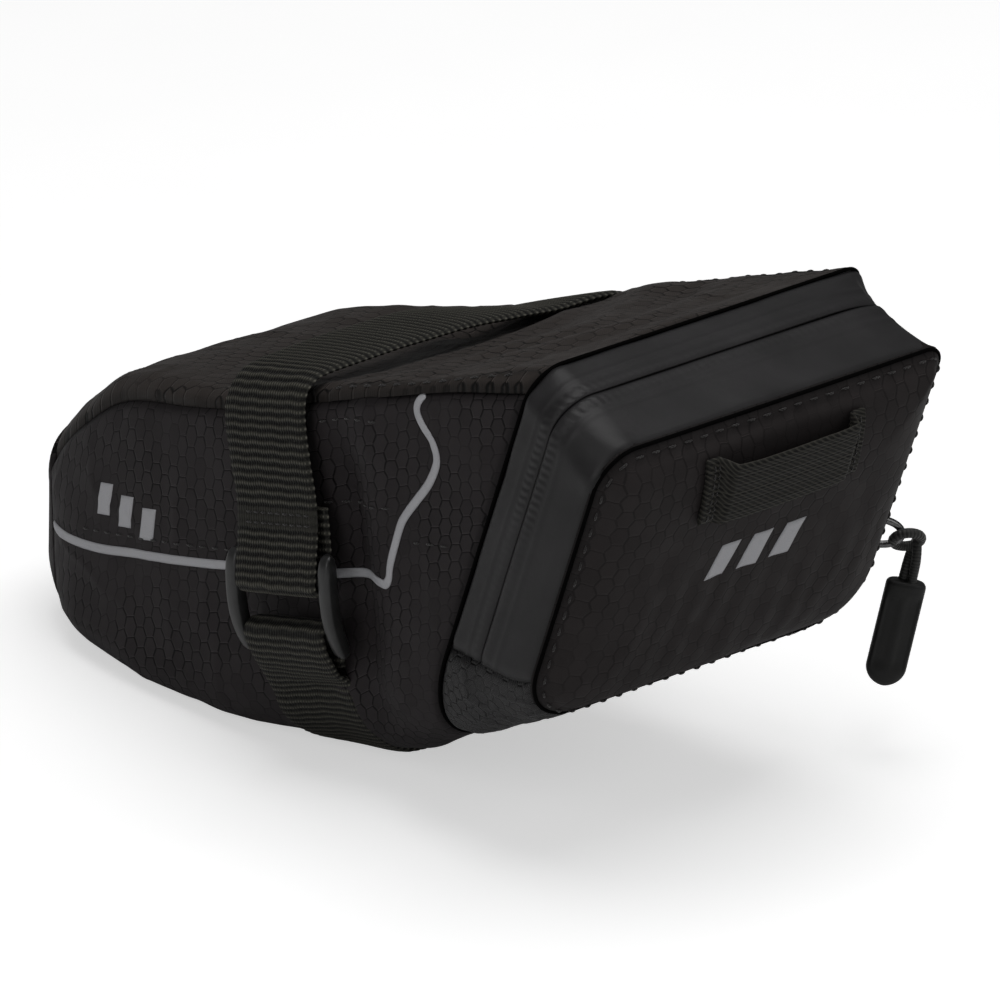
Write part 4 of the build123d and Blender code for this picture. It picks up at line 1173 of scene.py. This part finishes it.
# ------------------------------------------------------------------ buckles
for side, sg in (("left", -1), ("right", 1)):
    rail_c = np.array([(46.9, 52.4), (47.7, 51.6), (48.0, 49.6), (47.9, 46.5), (47.5, 42), (46.8, 38), (45.5, 34), (44.3, 31.4), (43.7, 30.2), (43.3, 29.4)])
    rail_s = np.array([0.55, 0.85, 1.0, 1.08, 1.1, 1.08, 1.02, 0.95, 0.8, 0.5])
    objs = []
    V, F = [], []
    for k in (-1, 1):
        yc = YB + k * 14.3
        p = catmull(np.column_stack([sg * rail_c[:, 0], np.full(len(rail_c), yc), rail_c[:, 1], rail_s]), 46)
        # the rails bow apart a little at the middle
        p[:, 1] += k * 0.25 * np.sin(np.linspace(0, math.pi, 46))
        p[:, 2] -= TILT * k * 14.3
        t = np.gradient(p[:, :3], axis=0)
        t /= np.linalg.norm(t, axis=1, keepdims=True)
        a = np.tile([0, 1.0, 0], (46, 1))
        b = np.cross(t, a)
        prof = rounded(3.5, 3.3, 3.4, 22)
        G = p[:, None, :3] + (prof[None, :, 0:1] * a[:, None] * np.minimum(1, p[:, 3])[:, None, None] + prof[None, :, 1:2] * b[:, None] * p[:, 3][:, None, None])
        off = len(V)
        m = len(prof)
        V += G.reshape(-1, 3).tolist() + [p[0, :3].tolist(), p[-1, :3].tolist()]
        F += grid_faces(46, m, off, False, close_v=True)
        c0 = off + 46 * m
        for j in range(m):
            F.append([c0, off + (j + 1) % m, off + j])
            F.append([c0 + 1, off + 45 * m + j, off + 45 * m + (j + 1) % m])
    for (bx, bz) in (BT, BLW):
        dy = np.linspace(-13.9, 13.9, 40)
        rr = 1.5 + 0.45 * (np.exp(-((dy - 13.6) / 1.3) ** 2) + np.exp(-((dy + 13.6) / 1.3) ** 2)) + 0.06 * np.cos(dy * 3.2)
        p = np.column_stack([np.full(40, -sg * bx), YB + dy, bz - TILT * dy])
        a = np.arange(18) / 18 * 2 * math.pi
        G = p[:, None] + rr[:, None, None] * np.stack([np.cos(a), 0 * a, np.sin(a)], -1)[None]
        off = len(V)
        V += G.reshape(-1, 3).tolist()
        F += grid_faces(40, 18, off, False, close_v=True)
        F.append([off + j for j in range(18)][::-1])
        F.append([off + 39 * 18 + j for j in range(18)])
    o = mk(f"{side}_buckle_plastic", V, F, M_PLASTIC)
    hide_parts(f"{side}_buckle")
    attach(o, "bag")

# ------------------------------------------------------------------ prints: found on the finished cloth by a straight look along X
def tree_of(sg):
    G, N, flip = side_grid[sg]
    f = grid_faces(G.shape[0], G.shape[1], 0, flip)
    return BVHTree.FromPolygons([Vector(p) for p in G.reshape(-1, 3)], f)


TREES = {sg: tree_of(sg) for sg in (-1, 1)}


def hit(sg, y, z, start=90.0):
    loc, nrm, _, _ = TREES[sg].ray_cast(Vector((sg * start, y, z)), Vector((-sg, 0, 0)))
    if loc is None:
        loc, nrm, _, _ = TREES[sg].find_nearest(Vector((sg * 40, y, z)))
    if nrm.x * sg < 0:
        nrm = -nrm
    return np.array(loc), np.array(nrm)


LINE = [(56.0, 98.6), (57.3, 96.4), (57.4, 94.2), (55.6, 91.8), (52.6, 89.4), (51.3, 86.6), (51.8, 83.8), (54.2, 79.6), (57.9, 75.1), (61.2, 71),
        (63.6, 67), (65.6, 61.4), (66.7, 57.6), (67.3, 54.8), (68.6, 53.2), (71.0, 52.8), (78.3, 51.3), (98.0, 46.2), (117.6, 41), (136, 36.2),
        (154.5, 31.7), (170, 27.8), (184, 25.2), (192.5, 24.4)]
for side, sg in (("left", -1), ("right", 1)):
    p = catmull(np.array(LINE), 520)
    t = np.gradient(p, axis=0)
    t /= np.linalg.norm(t, axis=1, keepdims=True)
    nv2 = np.column_stack([-t[:, 1], t[:, 0]])
    G = np.zeros((len(p), 7, 3))
    Nn = np.zeros_like(G)
    for j, w in enumerate(np.linspace(-1.0, 1.0, 7)):
        for i_ in range(len(p)):
            yy, zz = p[i_] + nv2[i_] * w
            loc, nrm = hit(sg, yy, zz)
            G[i_, j], Nn[i_, j] = loc, nrm
    prof = 0.22 * (1 - np.abs(np.linspace(-1, 1, 7)) ** 6)
    G = G + Nn * (0.10 + prof)[None, :, None]
    flip = normals(G)[100, 3, 0] * sg < 0
    a0, _, b0, _ = arcs(G)
    o = shell(f"{side}_reflective_tape", G, 0.4, M_REFL, np.stack([a0, b0], -1), b0 + 5, flip)
    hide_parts(f"{side}_reflective_line")
    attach(o, "bag")
    # a sewn line just above it, and another under the top hem
    for tag, pts, lift in (("a", [(108, 47.0), (125, 42.6), (150, 36.4), (178, 29.6)], 0.12), ("b", [(70, 88.5), (79, 86.4), (90, 82.2)], 0.12),
                           ("c", [(66.5, 70.6), (78, 67.4), (90, 64.2)], 0.12), ("d", [(48, 68), (56, 66.2), (60, 65)], 0.12)):
        q2 = catmull(np.array(pts), 60)
        hh = [hit(sg, yy, zz) for yy, zz in q2]
        o = stitches(f"{side}_side_stitch_{tag}", np.array([h_[0] for h_ in hh]), np.array([h_[1] for h_ in hh]), M_THREAD_DARK, pitch=4.6, length=2.3, r=0.22, lift=lift)
        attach(o, "bag")
    # generic mark: three slanted bars
    V, F, pats = [], [], []
    for k in range(3):
        y0 = 171.0 - 8.4 * k
        c4 = [(y0, 35.2), (y0 - 4.9, 36.4), (y0 - 6.1, 43.8), (y0 - 1.2, 42.6)]
        m = 12
        g = np.zeros((m, m, 3))
        gn = np.zeros_like(g)
        for i_ in range(m):
            for j in range(m):
                a, b = i_ / (m - 1), j / (m - 1)
                yz = ((1 - a) * (1 - b) * np.array(c4[0]) + a * (1 - b) * np.array(c4[1]) + a * b * np.array(c4[2]) + (1 - a) * b * np.array(c4[3]))
                loc, nrm = hit(sg, *yz)
                g[i_, j], gn[i_, j] = loc, nrm
        rim = np.minimum.outer(np.minimum(np.arange(m), m - 1 - np.arange(m)), np.minimum(np.arange(m), m - 1 - np.arange(m)))
        g2 = g + gn * (0.08 + 0.2 * np.minimum(rim, 1))[..., None]
        flip = normals(g2)[5, 5, 0] * sg < 0
        off = len(V)
        V += g2.reshape(-1, 3).tolist() + (g - gn * 0.2).reshape(-1, 3).tolist()
        F += grid_faces(m, m, off, flip) + grid_faces(m, m, off + m * m, not flip)
        loop = ([i_ * m for i_ in range(m)] + [(m - 1) * m + j for j in range(1, m)] + [i_ * m + m - 1 for i_ in range(m - 2, -1, -1)] + list(range(m - 2, 0, -1)))
        if flip:
            loop = loop[::-1]
        for a, b in zip(loop, loop[1:] + loop[:1]):
            F.append([off + a, off + a + m * m, off + b + m * m, off + b])
        pats += [[v_[1], v_[2], 0] for v_ in V[off:]]
    o = mk(f"{side}_mark_print", V, F, M_REFL, [("pat", np.array(pats))])
    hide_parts(f"{side}_side_mark")
    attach(o, "bag")

# rear mark
V, F, pats = [], [], []
for k in range(3):
    x0 = -10.4 + 9.0 * k
    c4 = [(x0 - 2.8, 37.6), (x0 + 2.4, 37.6), (x0 + 5.2, 29.6), (x0, 29.6)]
    m = 12
    a, b = np.meshgrid(np.linspace(0, 1, m), np.linspace(0, 1, m), indexing="ij")
    xt = ((1 - a) * (1 - b))[..., None] * np.array(c4[0]) + (a * (1 - b))[..., None] * np.array(c4[1]) + (a * b)[..., None] * np.array(c4[2]) + ((1 - a) * b)[..., None] * np.array(c4[3])
    rim = np.minimum.outer(np.minimum(np.arange(m), m - 1 - np.arange(m)), np.minimum(np.arange(m), m - 1 - np.arange(m)))
    g, gn = on_rear(xt[..., 0], xt[..., 1], 0.0)
    g2 = g + gn * (0.08 + 0.2 * np.minimum(rim, 1))[..., None]
    flip = normals(g2)[5, 5, 1] > 0
    off = len(V)
    V += g2.reshape(-1, 3).tolist() + (g - gn * 0.2).reshape(-1, 3).tolist()
    F += grid_faces(m, m, off, flip) + grid_faces(m, m, off + m * m, not flip)
    loop = ([i_ * m for i_ in range(m)] + [(m - 1) * m + j for j in range(1, m)] + [i_ * m + m - 1 for i_ in range(m - 2, -1, -1)] + list(range(m - 2, 0, -1)))
    if flip:
        loop = loop[::-1]
    for a_, b_ in zip(loop, loop[1:] + loop[:1]):
        F.append([off + a_, off + a_ + m * m, off + b_ + m * m, off + b_])
    pats += [[v_[0], v_[2], 0] for v_ in V[off:]]
o = mk("rear_mark_print", V, F, M_REFL, [("pat", np.array(pats))])
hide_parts("rear_mark")
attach(o, "lid")

# light loop: webbing sewn down at both ends, standing off between them
xs = np.linspace(-21.5, 21.5, 170)
tv = np.linspace(-7.5, 7.5, 31) + 12.5
XX, TT = np.meshgrid(xs, tv, indexing="ij")
hgt = 0.85 + 2.3 * smooth(-18.6, -16.2, XX) * (1 - smooth(16.2, 18.6, XX)) + 0.35 * np.cos(XX / 17 * math.pi / 2) * (np.abs(XX) < 17)
base, bn = on_rear(XX, np.full_like(XX, 12.5), 0.0)
L3 = base + bn * hgt[..., None] + (TT - 12.5)[..., None] * np.array([0, SL, -CL])
slope_fix, _ = on_rear(XX, TT, 0.0)
lie = np.clip(1 - (hgt - 0.85) / 2.5, 0, 1)[..., None]
L3 = L3 * (1 - lie) + (slope_fix + bn * hgt[..., None]) * lie
if normals(L3)[85, 15, 1] > 0:
    L3 = L3[:, ::-1]
o, loop_len, loop_up, loop_n = ribbon("light_loop_webbing", L3, M_LOOP, rib=1.15, amp=0.11, lengthwise=True, thick=1.2)
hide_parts("light_loop")
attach(o, "lid")
for tag, ks in (("l", (6, 11)), ("r", (158, 163))):
    for kk in ks:
        line, nrm = loop_up[kk], loop_n[kk]
        if nrm[15, 1] > 0:
            nrm = -nrm
        o = stitches(f"light_loop_tack_{tag}{kk}", line[2:-2], nrm[2:-2], M_THREAD, pitch=2.0, length=1.5, r=0.2, lift=0.05)
        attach(o, "lid")

# ------------------------------------------------------------------ slider and pull
SL_T, SL_D = 60.0, 15.0
X_FACE = 47.0 - 1.5 * 11 / 25
T_DIR, D_DIR, X_DIR = np.array([0, SL, -CL]), np.array([0, CL, SL]), np.array([1.0, 0, 0])
SO = P3(0, SL_T, SL_D)


def loc(x, t, d):
    """Point at x across, t down the panel and d forward of the slider's middle."""
    x, t, d = np.broadcast_arrays(np.asarray(x, float), np.asarray(t, float), np.asarray(d, float))
    return SO + x[..., None] * X_DIR + t[..., None] * T_DIR + d[..., None] * D_DIR


def plate(V, F, x0, x1, tl, dw, waist=0.8):
    """Rounded shield-shaped plate, wide at the top and narrow at the tail."""
    n = 40
    a = np.arange(n) / n * 2 * math.pi
    c, s = np.cos(a), np.sin(a)
    tt_ = np.sign(s) * np.abs(s) ** 0.75 * tl / 2
    ww = dw / 2 * (waist + (1 - waist) * (0.5 - tt_ / tl))
    dd = np.sign(c) * np.abs(c) ** 0.7 * ww
    rings = []
    for k, (fx, sc) in enumerate(((0, 0.90), (0.12, 0.98), (0.5, 1.0), (0.85, 0.97), (1, 0.84))):
        rings.append(loc(x0 + (x1 - x0) * fx, tt_ * sc, dd * sc))
    G = np.array(rings)
    off = len(V)
    V += G.reshape(-1, 3).tolist() + [loc(x0, 0, 0).tolist(), loc(x1, 0, 0).tolist()]
    F += grid_faces(5, n, off, False, close_v=True)
    c0 = off + 5 * n
    for j in range(n):
        F.append([c0, off + (j + 1) % n, off + j])
        F.append([c0 + 1, off + 4 * n + j, off + 4 * n + (j + 1) % n])


V, F = [], []
x_lift = X_FACE + 2.3
plate(V, F, x_lift - 0.1, x_lift + 1.5, 10.5, 8.0, 0.72)
plate(V, F, X_FACE - 5.4, X_FACE - 4.2, 9.0, 7.0, 0.8)
neck = np.array([loc(x, -2.0, 0) for x in np.linspace(X_FACE - 4.6, x_lift + 0.3, 6)])
pr = rounded(3.0, 0.7, 4, 12)


def add_sweep(V, F, path_, prof, a_ref):
    t = np.gradient(path_, axis=0)
    t /= np.linalg.norm(t, axis=1, keepdims=True)
    a = a_ref - t * (t @ a_ref)[:, None]
    a /= np.linalg.norm(a, axis=1, keepdims=True)
    b = np.cross(t, a)
    G = path_[:, None] + prof[None, :, 0:1] * a[:, None] + prof[None, :, 1:2] * b[:, None]
    n_, m_ = G.shape[:2]
    off = len(V)
    V += G.reshape(-1, 3).tolist() + [path_[0].tolist(), path_[-1].tolist()]
    F += grid_faces(n_, m_, off, False, close_v=True)
    c0 = off + n_ * m_
    for j in range(m_):
        F.append([c0, off + (j + 1) % m_, off + j])
        F.append([c0 + 1, off + (n_ - 1) * m_ + j, off + (n_ - 1) * m_ + (j + 1) % m_])


add_sweep(V, F, neck, pr, T_DIR)
ang = np.linspace(0, math.pi, 20)
RX = X_FACE + 0.3 + 1.6 + 1.5
bridge = np.array([loc(x_lift + 1.1 + 3.1 * math.sin(a) ** 0.8, 0, -2.9 * math.cos(a)) for a in ang])
add_sweep(V, F, bridge, rounded(2.8, 1.1, 3, 16), T_DIR)
o = mk("zip_slider_body", V, F, M_SLIDER)
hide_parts("zip_slider")
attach(o, "slider")

# ring: a drop-shaped wire eye with a doubled cord passed through its end
U_DIR = 0.80 * X_DIR - 0.60 * D_DIR
RO = SO + RX * X_DIR


def rl(u, t, w=0.0):
    u, t, w = np.broadcast_arrays(np.asarray(u, float), np.asarray(t, float), np.asarray(w, float))
    return RO + u[..., None] * U_DIR + t[..., None] * T_DIR + w[..., None] * np.cross(U_DIR, T_DIR)


a = np.arange(64) / 64 * 2 * math.pi
eye = rl(7.2 - 7.6 * np.cos(a), 3.1 * np.sin(a) * (1 - 0.10 * np.cos(a)) + 0.4, 0.5 * np.sin(2 * a))
o = sweep("pull_eye", eye, circle(0.8, 14), M_RING, closed=True)
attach(o, "ring")
CORNER_U, CORNER_T = 20.2 - 2.6, 3.4
bb = np.arange(72) / 72 * 2 * math.pi
knot = rl(16.2 + 3.0 * np.cos(bb), 1.3 + 2.5 * np.sin(bb), 1.1 * np.sin(bb + 0.6))
o = sweep("pull_cord_loop", knot, circle(1.05, 14), M_CORD, closed=True)
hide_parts("pull_ring")
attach(o, "ring")

# grip on its own short cord
corner = RO + U_DIR * CORNER_U + T_DIR * CORNER_T + np.array([1.2, 0, 0])
plumb = np.array([0, 0, -1.0])
down = plumb - U_DIR * plumb.dot(U_DIR)
down /= np.linalg.norm(down)
side_v = np.cross(down, U_DIR)


def tl_(x, y, z):
    x, y, z = np.broadcast_arrays(np.asarray(x, float), np.asarray(y, float), np.asarray(z, float))
    return corner + x[..., None] * side_v + y[..., None] * down + z[..., None] * U_DIR


aa_ = np.linspace(0, 1, 60)
cord = catmull(np.vstack([tl_(0.5, 10.4, 0.9), tl_(0.5, 6.4, 0.9), tl_(1.1, 2.4, 0.6), tl_(0.5, -0.9, 0.1), tl_(-0.5, -0.9, -0.1), tl_(-1.1, 2.4, -0.5), tl_(-0.5, 6.4, -0.8), tl_(-0.5, 10.4, -0.8)]), 90)
o = sweep("grip_cord", cord, circle(1.0, 12), M_CORD)
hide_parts("pull_cord")
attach(o, "pull")
y0, y1 = 7.5, 31.1
n_ = 60
ys = np.concatenate([y0 + 1.2 * (1 - np.cos(np.linspace(0, math.pi / 2, 8))), np.linspace(y0 + 1.5, y1 - 4.2, 34), y1 - 4.2 + 4.2 * np.sin(np.linspace(0.06, math.pi / 2, 18))])
rings = []
for y in ys:
    a = np.arange(48) / 48 * 2 * math.pi
    if y < y0 + 1.2:
        k = math.sqrt(max(0.0, 1 - ((y0 + 1.2 - y) / 1.2) ** 2))
        w, t = 4.25 - 1.2 + 1.2 * k, 2.15 - 0.9 + 0.9 * k
    elif y > y1 - 4.2:
        k = math.sqrt(max(0.0, 1 - ((y - (y1 - 4.2)) / 4.2) ** 2))
        w, t = 4.25 * k, 2.15 * (0.35 + 0.65 * k) * (k > 0.02)
    else:
        w, t = 4.25, 2.15
    c, s = np.cos(a), np.sin(a)
    zz = np.sign(c) * np.abs(c) ** 0.75 * w
    xx = np.sign(s) * np.abs(s) ** 0.75 * t
    # a raised spine runs down the middle, with a scooped face on each side of it
    face = np.exp(-((zz / max(w, 0.3)) / 0.16) ** 2)
    body_ = smooth(y0 + 2.5, y0 + 5, y) * (1 - smooth(y1 - 6, y1 - 3, y))
    xx = xx * (1 - 0.34 * body_ * (1 - face) * (np.abs(zz) < 0.8 * w))
    rings.append(tl_(xx, y, zz))
G = np.array(rings)
V = G.reshape(-1, 3).tolist() + [tl_(0, ys[0], 0).tolist(), tl_(0, ys[-1], 0).tolist()]
F = grid_faces(len(ys), 48, 0, False, close_v=True)
c0 = len(ys) * 48
for j in range(48):
    F.append([c0, (j + 1) % 48, j])
    F.append([c0 + 1, (len(ys) - 1) * 48 + j, (len(ys) - 1) * 48 + (j + 1) % 48])
o = mk("pull_grip", V, F, M_GRIP)
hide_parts("pull_tab")
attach(o, "pull")

# stitches along the top seam of the body's left and right sides
for side, sg in (("left", -1), ("right", 1)):
    j = np.argmin(np.abs(np.concatenate([-q_of(TOP_Q, 0)[:-1], q_of(0, TOP_Q)]) - sg * 0.252))
    line = top_G[8:60, j]
    nrm = top_N[8:60, j]
    o = stitches(f"{side}_top_hem_stitch", line, nrm, M_THREAD, pitch=5.0, length=2.4, r=0.24, lift=0.1)
    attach(o, "bag")

for key in ("base_tray",):
    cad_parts[key].data.materials.append(M_TRAY)

# every mesh faces outwards
for o in MADE:
    bm = bmesh.new()
    bm.from_mesh(o.data)
    bmesh.ops.recalc_face_normals(bm, faces=bm.faces)
    bm.to_mesh(o.data)
    bm.free()

# ------------------------------------------------------------------ floor, light, camera
floor_mesh = bpy.data.meshes.new("floor")
floor_mesh.from_pydata([(-3, -3, -0.0004), (3, -3, -0.0004), (3, 3, -0.0004), (-3, 3, -0.0004)], [], [(0, 1, 2, 3)])
floor = bpy.data.objects.new("floor", floor_mesh)
SC.collection.objects.link(floor)
k = NT("floor_paper")
g = k.noise(k.obj(), 0.02, 3)
k.bsdf.inputs["Emission Color"].default_value = (1, 1, 1, 1)
lp2 = k.t.nodes.new("ShaderNodeLightPath")
k.put(k.bsdf.inputs["Emission Strength"], k.math("MULTIPLY", lp2.outputs["Is Camera Ray"], 0.52))
floor.data.materials.append(k.done(k.mix(g, (0.86, 0.86, 0.86, 1), (0.9, 0.9, 0.9, 1)), 0.8, spec=0.1))

world = bpy.data.worlds.new("studio")
SC.world = world
world.use_nodes = True
bg = world.node_tree.nodes["Background"]
bg.inputs["Color"].default_value = (1, 1, 1, 1)
# the backdrop reads white, while the cloth is lit by a dimmer surround
lp = world.node_tree.nodes.new("ShaderNodeLightPath")
st = world.node_tree.nodes.new("ShaderNodeMapRange")
world.node_tree.links.new(lp.outputs["Is Camera Ray"], st.inputs["Value"])
st.inputs["To Min"].default_value = 0.13
st.inputs["To Max"].default_value = 1.0
world.node_tree.links.new(st.outputs["Result"], bg.inputs["Strength"])


def area(name, at, to, size, power):
    d = bpy.data.lights.new(name, "AREA")
    d.shape = "RECTANGLE"
    d.size, d.size_y = size
    d.energy = power
    o_ = bpy.data.objects.new(name, d)
    SC.collection.objects.link(o_)
    o_.location = at
    o_.rotation_mode = "QUATERNION"
    o_.rotation_quaternion = (Vector(to) - Vector(at)).to_track_quat("-Z", "Y")


area("key_top", (0.05, -0.15, 1.2), (0, 0, 0.05), (1.1, 0.9), 7.5)
area("side_left", (-1.1, -0.25, 0.5), (0, 0, 0.05), (0.5, 0.9), 2.2)
area("rear_right", (0.5, -1.0, 0.6), (0, 0, 0.05), (0.5, 0.7), 1.6)

cam_data = bpy.data.cameras.new("camera")
cam = bpy.data.objects.new("camera", cam_data)
SC.collection.objects.link(cam)
look = Vector((0.620, 0.689, -0.375)).normalized()
target = Vector(row((0, 82.7, 55.5)))
cam.location = target - look * 2.5
cam.rotation_mode = "QUATERNION"
cam.rotation_quaternion = look.to_track_quat("-Z", "Y")
cam_data.sensor_width = 36
cam_data.lens = 436.5
cam_data.clip_start, cam_data.clip_end = 0.05, 30
SC.camera = cam
SC.view_settings.view_transform = "Standard"
